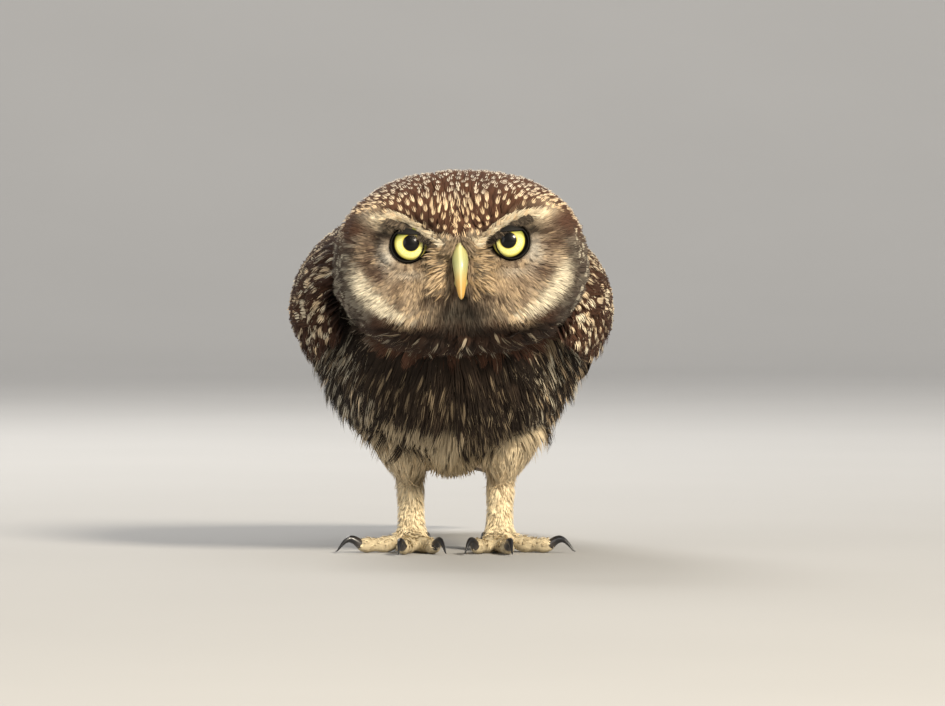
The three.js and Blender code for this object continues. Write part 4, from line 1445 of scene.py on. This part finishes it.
# Rows of soft feathers on the folded wing: count, tips (place, angle) of the first and last feather of a row,
# length, half width, and lifts at root, middle and tip. Those from the ridge of the back come last.
COVERT_ROWS = [
    (9, [(10, 96), (-2, 104)], 38, 3.6, (-1.4, 1.6, 1.2)),
    (10, [(33, 42), (18, 96)], 42, 5.0, (-1.2, 2.0, 1.6)),
    (11, [(21, 44), (8, 97)], 30, 4.2, (-1.2, 2.5, 2.2)),
    (12, [(12, 46), (0, 95)], 23, 3.7, (-1.2, 2.9, 2.6)),
    (12, [(4, 44), (-7, 97)], 19, 3.4, (-1.2, 3.2, 2.9)),
    (13, [(-3, 46), (-13, 94)], 17, 3.1, (-1.2, 3.5, 3.2)),
    (13, [(-9, 44), (-19, 96)], 15, 2.9, (-1.2, 3.7, 3.4)),
    (13, [(-15, 45), (-25, 94)], 13, 2.8, (-1.2, 3.8, 3.5)),
    (13, [(-21, 44), (-30, 95)], 12, 2.7, (-1.4, 3.2, 3.4)),
    (13, [(-27, 45), (-35, 92)], 11, 2.6, (-1.6, 2.6, 3.2)),
    (10, [(47, 4), (22, 43)], 46, 5.2, (-1.5, 2.2, 1.0)),
    (10, [(36, 2), (12, 44)], 34, 4.8, (-1.5, 2.7, 1.8)),
    (10, [(26, 4), (3, 45)], 28, 4.4, (-1.5, 3.0, 2.4)),
    (10, [(17, 2), (-5, 46)], 24, 4.0, (-1.5, 3.2, 2.7)),
    (10, [(8, 4), (-12, 46)], 20, 3.7, (-1.5, 3.3, 2.9)),
    (10, [(0, 2), (-19, 47)], 18, 3.4, (-1.5, 3.3, 3.0)),
    (10, [(-8, 4), (-25, 48)], 16, 3.2, (-1.5, 3.2, 3.1)),
    (10, [(-15, 2), (-31, 49)], 14, 3.1, (-1.5, 3.1, 3.0)),
    (10, [(-22, 4), (-36, 50)], 13, 3.0, (-1.7, 2.6, 2.9)),
]


def dress_coverts():
    """The soft rows that tile the side and top of each folded wing, on the cloak. Near the ridge of the
    back the long tips come down on to the rump."""
    for name, side in SIDES.items():
        rng = np.random.default_rng(61 + (side > 0))
        tip, length, width, lifts = [], [], [], []
        for count, tips_at, reach, half_width, lift in COVERT_ROWS:
            f = (np.arange(count) / (count - 1))[:, None]
            tip.append(mix(*np.array(tips_at, float), f))
            length.append(np.full(count, float(reach)))
            width.append(np.full(count, half_width))
            lifts.append(np.tile(lift, (count, 1)))
        tip, length, width, lifts = (np.concatenate(each) for each in (tip, length, width, lifts))
        width = width * rng.uniform(0.9, 1.1, len(tip))
        sag = smooth(32, 8, tip[:, 1]) * smooth(5, 42, tip[:, 0])
        lifts -= sag[:, None] * (0, 2.4, 6.5)
        tip += rng.normal(0, 0.8, tip.shape) * (1.6, 1.2)
        root = tip - np.stack([length, -0.12 * length], 1) + rng.normal(0, 0.6, tip.shape)
        path = over_cloak(side, root, tip - root, [lift + rng.normal(0, 0.15, len(root)) for lift in lifts.T])
        ground, marked, mark = covert_colours(length, rng, 0.85)
        piece = tufts("covert_feathers_" + name, path, width, 19, 4, 62, ground, marked, mark,
                      body_map(path[0]), spread=0.4, roundness=0.36, loose=0.055, camber=0.12)
        dressed(piece, PLUMAGE)


# Lifts of the wing's front feathers: the place along a feather, and its lift behind and right in front
WRIST_LIFTS = [(0, 1.2, -0.6), (0.5, 3.9, 2.4), (1, 4.4, 3.4)]


def dress_wrists():
    """Small spotted feathers over the front of each folded wing, on the cloak: they point down and back."""
    count = 440
    for name, side in SIDES.items():
        rng = np.random.default_rng(65 + (side > 0))
        root = np.stack([rng.uniform(-50, -26, count), rng.uniform(30, 112, count)], 1)
        root = root[np.argsort(-root[:, 0] - 0.8 * root[:, 1])]
        length = rng.uniform(4.6, 7.0, count)
        step = np.stack([0.35 * length, 1.45 * length], 1) + rng.normal(0, 0.7, (count, 2))
        rise = rng.uniform(-0.5, 0.5, count)
        front = smooth(-20, -44, root[:, 0])
        lifts = [mix(behind, ahead, front) + rise * t for t, behind, ahead in WRIST_LIFTS]
        path = over_cloak(side, root, step, lifts)
        ground, marked, mark = covert_colours(length, rng, 0.37)
        piece = tufts("wrist_feathers_" + name, path, 1.75, 11, 3, 67, ground, marked, mark,
                      body_map(path[0]))
        dressed(piece, PLUMAGE)


# Vanes: flight and tail feathers as thin closed blades with rounded ends
VANE_THICKNESS = 0.3
VANE_PATCH = 0.02  # the size of a blade's own patch of the OFBake map


def vane_outline(t):
    """Share of full width along a vane: a narrow root, broad after a third, and a round end."""
    end = np.clip((t - 0.78) / 0.22, 0, 1)
    return (0.42 + 0.58 * smooth(0, 0.4, t)) * np.sqrt(np.clip(1 - end**2.4, 0, 1))


def vane_sheet(face, t, v):
    """Height of a vane's upper (1) or lower (-1) sheet over its middle: it thins towards the edges and the
    tip."""
    return face * VANE_THICKNESS / 2 * (1 - 0.8 * np.maximum(np.abs(v), smooth(0.7, 1, t)) ** 3)


def blade(place):
    """(points, faces, vane coordinates) of a closed blade: place(t, v, face) gives both sheets, and a wall
    joins them along the rim. The rows crowd towards the tip."""
    rows, columns = 16, 6
    far, across = np.sin(np.pi / 2 * np.linspace(0, 1, rows + 1)), np.linspace(-1, 1, columns + 1)
    t, v = np.meshgrid(far, across, indexing="ij")
    points = np.concatenate([place(t, v, face).reshape(-1, 3) for face in (1, -1)])
    numbers = np.arange(t.size).reshape(t.shape)
    quads = grid_quads(numbers)
    rim = np.r_[numbers[0, :-1], numbers[:-1, -1], numbers[-1, :0:-1], numbers[:0:-1, 0]]
    after = np.roll(rim, -1)
    walls = np.stack([after, rim, rim + t.size, after + t.size], -1)
    coordinates = np.stack([v.ravel(), t.ravel()], -1)
    return points, np.concatenate([quads, quads[:, ::-1] + t.size, walls]), np.tile(coordinates, (2, 1))


def wing_vane(side, root, tip, width, lifts, roll):
    """A blade on the cloak from root to tip, each a (place, angle): it rolls about its length and bows
    across."""
    def place(t, v, face):
        y = mix(root[0], tip[0], t)
        angle = mix(root[1], tip[1], t**1.25)
        lift = mix(mix(lifts[0], lifts[1], smooth(0, 0.45, t)), lifts[2], smooth(0.4, 1, t))
        point, out, _, down = cloak(side, y, angle, lift)
        across = down * np.cos(roll) + out * np.sin(roll)
        bow = -0.10 * width * v**2
        reach = v * width / 2 * vane_outline(t)
        return point + across * reach[..., None] + out * (vane_sheet(face, t, v) + bow)[..., None]

    return blade(place)


# Blades of the folded wing, the long primaries and over them the secondaries: count, root and tip (place,
# angle) of the first and last, widths, lifts at root, middle and tip, roll, and (half width, rows) of their
# pale spots
TIERS = [
    (9, [(22, 78), (-14, 102)], [(92, 36), (105, 70)], (11, 9), (-2.6, -1.9, -0.2), 12, (0.36, 7)),
    (11, [(2, 46), (-18, 96)], [(80, 31), (54, 97)], (15, 13), (-1.2, 0.4, 0.2), 9, (0.33, 6)),
]


def dress_vanes(name, blades):
    """Joins blades, each (points, faces, coordinates, ground, marked, mark), into one piece."""
    points, faces = joined([b[:2] for b in blades])
    piece = new_mesh(name, points, faces)
    rng = np.random.default_rng(71)

    def each(rows):
        """Values for each blade, repeated for its points."""
        return np.repeat(np.array(rows, float), [len(b[0]) for b in blades], axis=0)

    coordinates = np.concatenate([b[2] for b in blades])
    attribute(piece, "vane", np.concatenate([coordinates, each(rng.random((len(blades), 1)))], 1))
    colour_attribute(piece, "ground", each([b[3] for b in blades]))
    colour_attribute(piece, "marked", each([b[4] for b in blades]))
    attribute(piece, "mark", each([b[5] for b in blades]))
    roots = np.array([b[0].mean(0) for b in blades])
    spread = np.stack([np.clip(coordinates[:, 0], -1, 1) * 0.5, coordinates[:, 1] - 0.5], 1)
    bake_map(piece, each(body_map(roots)) + VANE_PATCH * spread)
    dressed(piece, VANES)
    return piece


def dress_wing(name, side):
    """The two tiers of flight feathers of a folded wing, each blade between the first and the last of its
    tier."""
    rng = np.random.default_rng(73 + (side > 0))
    blades = []
    for count, root_ends, tip_ends, widths, lifts, roll, (spot, rows) in TIERS:
        for k in range(count):
            f = k / (count - 1)
            root, tip = (mix(*np.array(ends, float), f) for ends in (root_ends, tip_ends))
            tip[0] += 1.2 * np.sin(2.4 * k + 1)
            root += rng.normal(0, 0.4, 2)
            made = wing_vane(side, root, tip, mix(*widths, f) * rng.uniform(0.95, 1.05), lifts, roll * DEG)
            ground = mix(CHOCOLATE * 1.2, CHOCOLATE * 0.75, rng.random())
            marked = mix(BUFF * 0.9, CREAM * 0.9, rng.random())
            blades.append((*made, ground, marked, (spot, 0.1 + 0.4 * rng.random(), rows)))
    piece = dress_vanes("wing_feathers_" + name, blades)
    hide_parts("wing_" + name)


def tail_vane(x, lean, start, length, width, lift, roll):
    """A straight blade that falls towards its end: it starts x aside and turns out by lean."""
    way = vec(np.sin(lean), np.cos(lean), 0)
    across = vec(np.cos(lean), -np.sin(lean), -np.sign(x) * np.tan(roll))

    def place(t, v, face):
        fall = (start + length * t - TAIL["y"]) * TAIL["drop"]
        bow = -0.04 * width * v**2
        base = vec(TORSO["x"] + x, start, TAIL["z"] - fall + lift + vane_sheet(face, t, v) + bow)
        return base + way * (length * t)[..., None] + across * (v * width / 2 * vane_outline(t))[..., None]

    return blade(place)


def dress_tail():
    """The fan of tail feathers, with four brown coverts over it and four pale ones under it on each side."""
    rng = np.random.default_rng(81)
    blades = []

    def add(made, spot, rows, pale=0.0):
        """A blade with its spots' half width and rows, and its ground's share of the belly's colour."""
        ground = mix(CHOCOLATE * 1.1, BELLY, pale)
        marked = mix(BUFF * 1.1, CREAM, rng.random())
        blades.append((*made, ground, marked, (spot, 0.1 + 0.1 * rng.random(), rows)))

    for side in (-1, 1):
        for k in range(TAIL["pairs"]):
            x = side * (0.9 + TAIL["spacing"] * k)
            lean = side * TAIL["fan"] * (k / 5 + 0.1)
            start, length, lift = TAIL["y"] - 4, TAIL["length"] - 0.8 * k, -TAIL["step"] * k
            add(tail_vane(x, lean, start, length, TAIL["width"], lift, 4 * DEG), 0.5, 5)
        for k in range(4):
            x = side * (1.4 + 2.6 * k)
            lean = side * 3 * DEG * k
            add(tail_vane(x, lean, 62, 31 - 3 * k, 8.5, 2.6 - 0.6 * k, 5 * DEG), 0.35, 1.6)
            add(tail_vane(x, lean, 58, 45 - 4 * k, 9.5, -7.2 + 0.6 * k, -5 * DEG), 0.25, 1.5, pale=0.9)
    piece = dress_vanes("tail_feathers", blades)
    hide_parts("tail")


# Eyes
GAZE = (-3 * DEG, 5 * DEG)  # outwards and up
IRIS = 4.25
CORNEA = 0.4  # how far the clear front stands proud
LID = dict(look=8 * DEG, outer=4.62, above=4.5, lower=4.22, upper=2.75, sphere=6.7, thick=0.3, tilt=4 * DEG)
LID_RINGS, LID_COLUMNS = 96, 12


def lid_points(side, centre):
    """A ring round the eye's opening, flattened on a sphere just over the cornea. Its inner edge is a
    circle below and a nearly straight line above, lower towards the bill; its section is an oval of this
    thickness."""
    look = vec(side * np.sin(LID["look"]), -np.cos(LID["look"]), 0)
    across = vec(np.cos(LID["look"]), side * np.sin(LID["look"]), 0)
    spin, tube = np.meshgrid(*(2 * np.pi * np.arange(n) / n for n in (LID_RINGS, LID_COLUMNS)), indexing="ij")
    height = np.sin(spin - side * LID["tilt"])
    upper = (LID["upper"] + 0.25 * np.cos(spin) ** 2) / np.maximum(height, 0.05)
    sharp = 6  # of the corner where the upper edge meets the lower one
    inner = -np.log(np.exp(-upper * sharp) + np.exp(-LID["lower"] * sharp)) / sharp
    outer = mix(LID["outer"], LID["above"], np.clip(height, 0, 1))
    reach = (outer + inner) / 2 + (outer - inner) / 2 * np.cos(tube)
    rise = LID["thick"] * np.sin(tube) * (1 + 0.5 * np.clip(height, 0, 1))
    forward = np.sqrt(LID["sphere"] ** 2 - reach**2) + rise
    out = across * np.cos(spin)[..., None] + vec(0, 0, 1) * np.sin(spin)[..., None]
    return (centre + look * forward[..., None] + out * reach[..., None]).reshape(-1, 3)


def dress_eyes():
    """Eyeballs with a cornea that stands a little proud, 1 - off^2 of its height at off iris radii, and
    their lids."""
    glass, rim = eye_finish(), lid_finish()
    iris_angle = np.arcsin(IRIS / EYE["radius"])
    numbers = np.arange(LID_RINGS * LID_COLUMNS).reshape(LID_RINGS, LID_COLUMNS)
    numbers = np.r_[numbers, numbers[:1]]
    lid_quads = grid_quads(np.c_[numbers, numbers[:, :1]])[:, [0, 3, 2, 1]]
    for name, side in SIDES.items():
        centre = np.array([side * EYE["x"], EYE["y"], EYE["z"]])
        points, faces = ellipsoid(centre, [EYE["radius"]] * 3, 64, 96)
        way = unit(vec(side * np.sin(GAZE[0]), -np.cos(GAZE[0]) * np.cos(GAZE[1]), np.sin(GAZE[1])))
        right = unit(np.cross(way, (0, 0, 1)))
        up = np.cross(right, way)
        rel = (points - centre) / EYE["radius"]
        off = np.arccos(np.clip(rel @ way, -1, 1)) / iris_angle
        points = points + rel * (CORNEA * np.clip(1 - off**2, 0, 1))[:, None]
        piece = new_mesh("eyeball_" + name, in_head(points), faces)
        nasal, upwards = rel @ right * -side / np.sin(iris_angle), rel @ up / np.sin(iris_angle)
        attribute(piece, "vane", np.stack([nasal, upwards, off], 1))
        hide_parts("eye_" + name)
        dressed(piece, glass)
        dressed(new_mesh("lid_" + name, in_head(lid_points(side, centre)), lid_quads), rim)


# Bill
HORN = dict(width=4.8, depth=5.6, lower_wide=1.9, lower_deep=1.5, point=0.08, rows=60, columns=40)
UPPER_PATH = [(0, 3.6, -19), (0.3, 3.4, -25.6), (0.55, 1.4, -28.9), (0.8, -3.0, -30.8), (1, -9.2, -30.2)]
LOWER_PATH = [(0, -4.0, -19), (0.5, -4.4, -26.2), (1, -6.6, -28.9)]
CERE = dict(centre=(0, -26.6, 3.6), radii=(2.5, 2.2, 2.1), rows=40, columns=56)
NOSTRIL = dict(x=1.55, y=-28.3, z=3.9, radius=0.5, depth=0.5)


def bill_centre(path):
    """The curve of a half of the bill in its middle plane, through (t, height, place) stations."""
    heights, depths = [(a, z) for a, z, _ in path], [(a, y) for a, _, y in path]
    return lambda t: in_head(vec(0, along(depths, t), along(heights, t)))


def upper_sizes(t):
    """Half sizes of the upper half: slim at its root under the cere, and (1 - t^2.6)^0.5 towards its hooked
    tip."""
    taper = np.sqrt(np.clip(1 - t**2.6, 0, 1))
    slim = 0.72 + 0.28 * smooth(0.3, 0.62, t)
    return HORN["width"] / 2 * taper * slim + HORN["point"], HORN["depth"] / 2 * taper**1.2 + HORN["point"]


def lower_sizes(t):
    """Half sizes of the lower half: (1 - t^3)^0.5."""
    taper = np.sqrt(np.clip(1 - t**3, 0, 1))
    return HORN["lower_wide"] * taper + HORN["point"], HORN["lower_deep"] * taper + HORN["point"]


# Each half's path, its sizes, and the share of the horn's colours that it runs through: the lower half
# stays olive
BILL_HALVES = {"upper": (UPPER_PATH, upper_sizes, 1.0), "lower": (LOWER_PATH, lower_sizes, 0.62)}


def dress_bill():
    """The two halves of the closed bill, and over the upper one's root the cere, with a pit for each
    nostril."""
    for name, (path, sizes, colours) in BILL_HALVES.items():
        points, faces = limb(bill_centre(path), sizes, HORN["rows"], HORN["columns"])
        s, turn = ring_places(HORN["rows"], HORN["columns"])
        t = limb_place(s, HORN["rows"])
        piece = new_mesh("bill_" + name + "_horn", points, faces)
        attribute(piece, "vane", np.stack([np.cos(2 * np.pi * turn), colours * t, 0 * t], -1).reshape(-1, 3))
        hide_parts("bill_" + name)
        dressed(piece, BILL_HORN)
    points, faces = ellipsoid(CERE["centre"], CERE["radii"], CERE["rows"], CERE["columns"])
    pit = vec(np.sign(points[:, 0]) * NOSTRIL["x"], NOSTRIL["y"], NOSTRIL["z"])
    nostril = bump(np.linalg.norm(points - pit, axis=1), NOSTRIL["radius"])
    points[:, 1] += NOSTRIL["depth"] * nostril
    cere = new_mesh("cere", in_head(points), faces)
    attribute(cere, "vane", np.tile([1.0, 0.0, 0.0], (len(points), 1)))
    # pit: the cere's own darker colour, and painted shade in each nostril's dent
    attribute(cere, "pit", np.clip(0.35 + nostril, 0, 1))
    dressed(cere, BILL_HORN)


def dress_claws():
    """All eight claws as one piece."""
    claws = [claw_surface(side, toe) for side in SIDES.values() for toe in TOES]
    piece = new_mesh("claws", *joined(claws))
    s, turn = ring_places(CLAW_ROWS, CLAW_COLUMNS)
    one = np.stack([np.cos(2 * np.pi * turn), s, 0 * s], -1).reshape(-1, 3)
    attribute(piece, "vane", np.tile(one, (len(claws), 1)))
    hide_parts(*[f"claw_{toe}_{name}" for name in SIDES for toe in TOES])
    dressed(piece, claw_finish())


BILL_HORN = bill_finish()

# The breast's coat covers the front of the trunk up to the nape, the belly's and the mantle's the rest
NAPE_TOP, BELLY_TOP = 92, 46

dress_face()
dress_brows()
dress_awnings()
dress_eye_rims()
dress_bristles()
dress_crown()
dress_body("breast_feathers", lambda p: (p[:, 1] < 0) & (p[:, 2] < NAPE_TOP), 2.05, 13, 4, 23, 31, 5.8)
dress_body("belly_feathers", lambda p: (p[:, 1] >= 0) & (p[:, 2] < BELLY_TOP), 2.3, 14, 4, 19, 41, 5.5)
dress_body("mantle_feathers", lambda p: (p[:, 1] >= 0) & (p[:, 2] >= BELLY_TOP), 2.4, 13, 4, 19, 45, 4.6)
dress_legs()
dress_toes()
dress_coverts()
dress_wrists()
for wing, wing_side in SIDES.items():
    dress_wing(wing, wing_side)
dress_tail()
dress_eyes()
dress_bill()
dress_claws()


# Floor, light and camera
FLOOR = dict(half_width=7.0, near=-6.0, bend=2.0, radius=1.5, top=6.0)  # in metres, as the lamps' places are


def dress_stage():
    """A pale floor that curves up into a far wall: a quarter circle between two straights, carried
    sideways."""
    floor = Finish("floor")
    tone = floor.noise(floor.place(), 6.0, 3.0)
    floor.look(Base_Color=floor.colour((0.40, 0.40, 0.40), (0.43, 0.43, 0.43), tone), Roughness=0.8,
               Specular_IOR_Level=0.1)
    turn = np.linspace(0, np.pi / 2, 24)
    radius = FLOOR["radius"]
    y = np.r_[FLOOR["near"], FLOOR["bend"] + radius * np.sin(turn), FLOOR["bend"] + radius]
    z = np.r_[0.0, radius - radius * np.cos(turn), FLOOR["top"]]
    x = np.array([-FLOOR["half_width"], FLOOR["half_width"]])
    points = np.stack([np.tile(x, len(y)), np.repeat(y, 2), np.repeat(z, 2)], 1)
    me = bpy.data.meshes.new("floor")
    me.from_pydata(points.tolist(), [], grid_quads(np.arange(len(points)).reshape(-1, 2)).tolist())
    me.polygons.foreach_set("use_smooth", np.full(len(me.polygons), True))
    me.materials.append(floor.material)
    shown("floor", me)


def lamp(name, place, target, size, power, colour):
    """A round soft lamp at a place, turned to its target."""
    light = bpy.data.lights.new(name, "AREA")
    light.shape = "DISK"
    light.size = size
    light.energy = power
    light.color = colour
    piece = shown(name, light)
    piece.location = place
    piece.rotation_euler = (Vector(target) - Vector(place)).to_track_quat("-Z", "Y").to_euler()


def dress_light():
    """A warm key lamp from the front right, weak fill and rim lamps, one on the wall, and a dim sky."""
    warm, soft = (1.0, 0.90, 0.74), (1.0, 0.97, 0.92)
    bird, wall = (0.0, -0.02, 0.06), (0.0, 3.3, 1.2)
    lamp("key", (1.02, -1.8, 1.15), bird, 0.5, 90.0, warm)
    lamp("fill", (-0.9, -0.9, 0.35), bird, 0.9, 5.0, soft)
    lamp("rim", (-0.4, 0.9, 0.9), bird, 0.6, 9.0, soft)
    lamp("backdrop", (0.0, 0.9, 2.6), wall, 3.0, 60.0, (1.0, 0.98, 0.96))
    world = bpy.data.worlds.new("soft_sky")
    world.use_nodes = True
    sky = world.node_tree.nodes["Background"].inputs
    sky["Color"].default_value = (1.0, 0.97, 0.93, 1.0)
    sky["Strength"].default_value = 0.3
    bpy.context.scene.world = world
    bpy.context.scene.view_settings.view_transform = "Standard"


PHOTO_WIDTH = 945
SCALE = 0.27  # millimetres of the bird for each pixel of the photo
AIM = (4.7, -40, 55.9)  # the middle of the photo's frame, in the bird frame
SENSOR = 36  # millimetres
DISTANCE, RISE = 1.8, 1.2 * DEG


def dress_camera():
    """A long lens, level but for about a degree, aimed at the middle of the photo's frame."""
    camera = bpy.data.cameras.new("camera")
    camera.sensor_width = SENSOR
    camera.lens = SENSOR * DISTANCE / (PHOTO_WIDTH * SCALE / 1000)
    camera.clip_end = 50
    piece = shown("camera", camera)
    aim = Vector(placed(AIM))
    piece.location = aim + Vector((0, -np.cos(RISE), np.sin(RISE))) * DISTANCE
    piece.rotation_euler = (aim - piece.location).to_track_quat("-Z", "Y").to_euler()
    bpy.context.scene.camera = piece


dress_stage()
dress_light()
dress_camera()
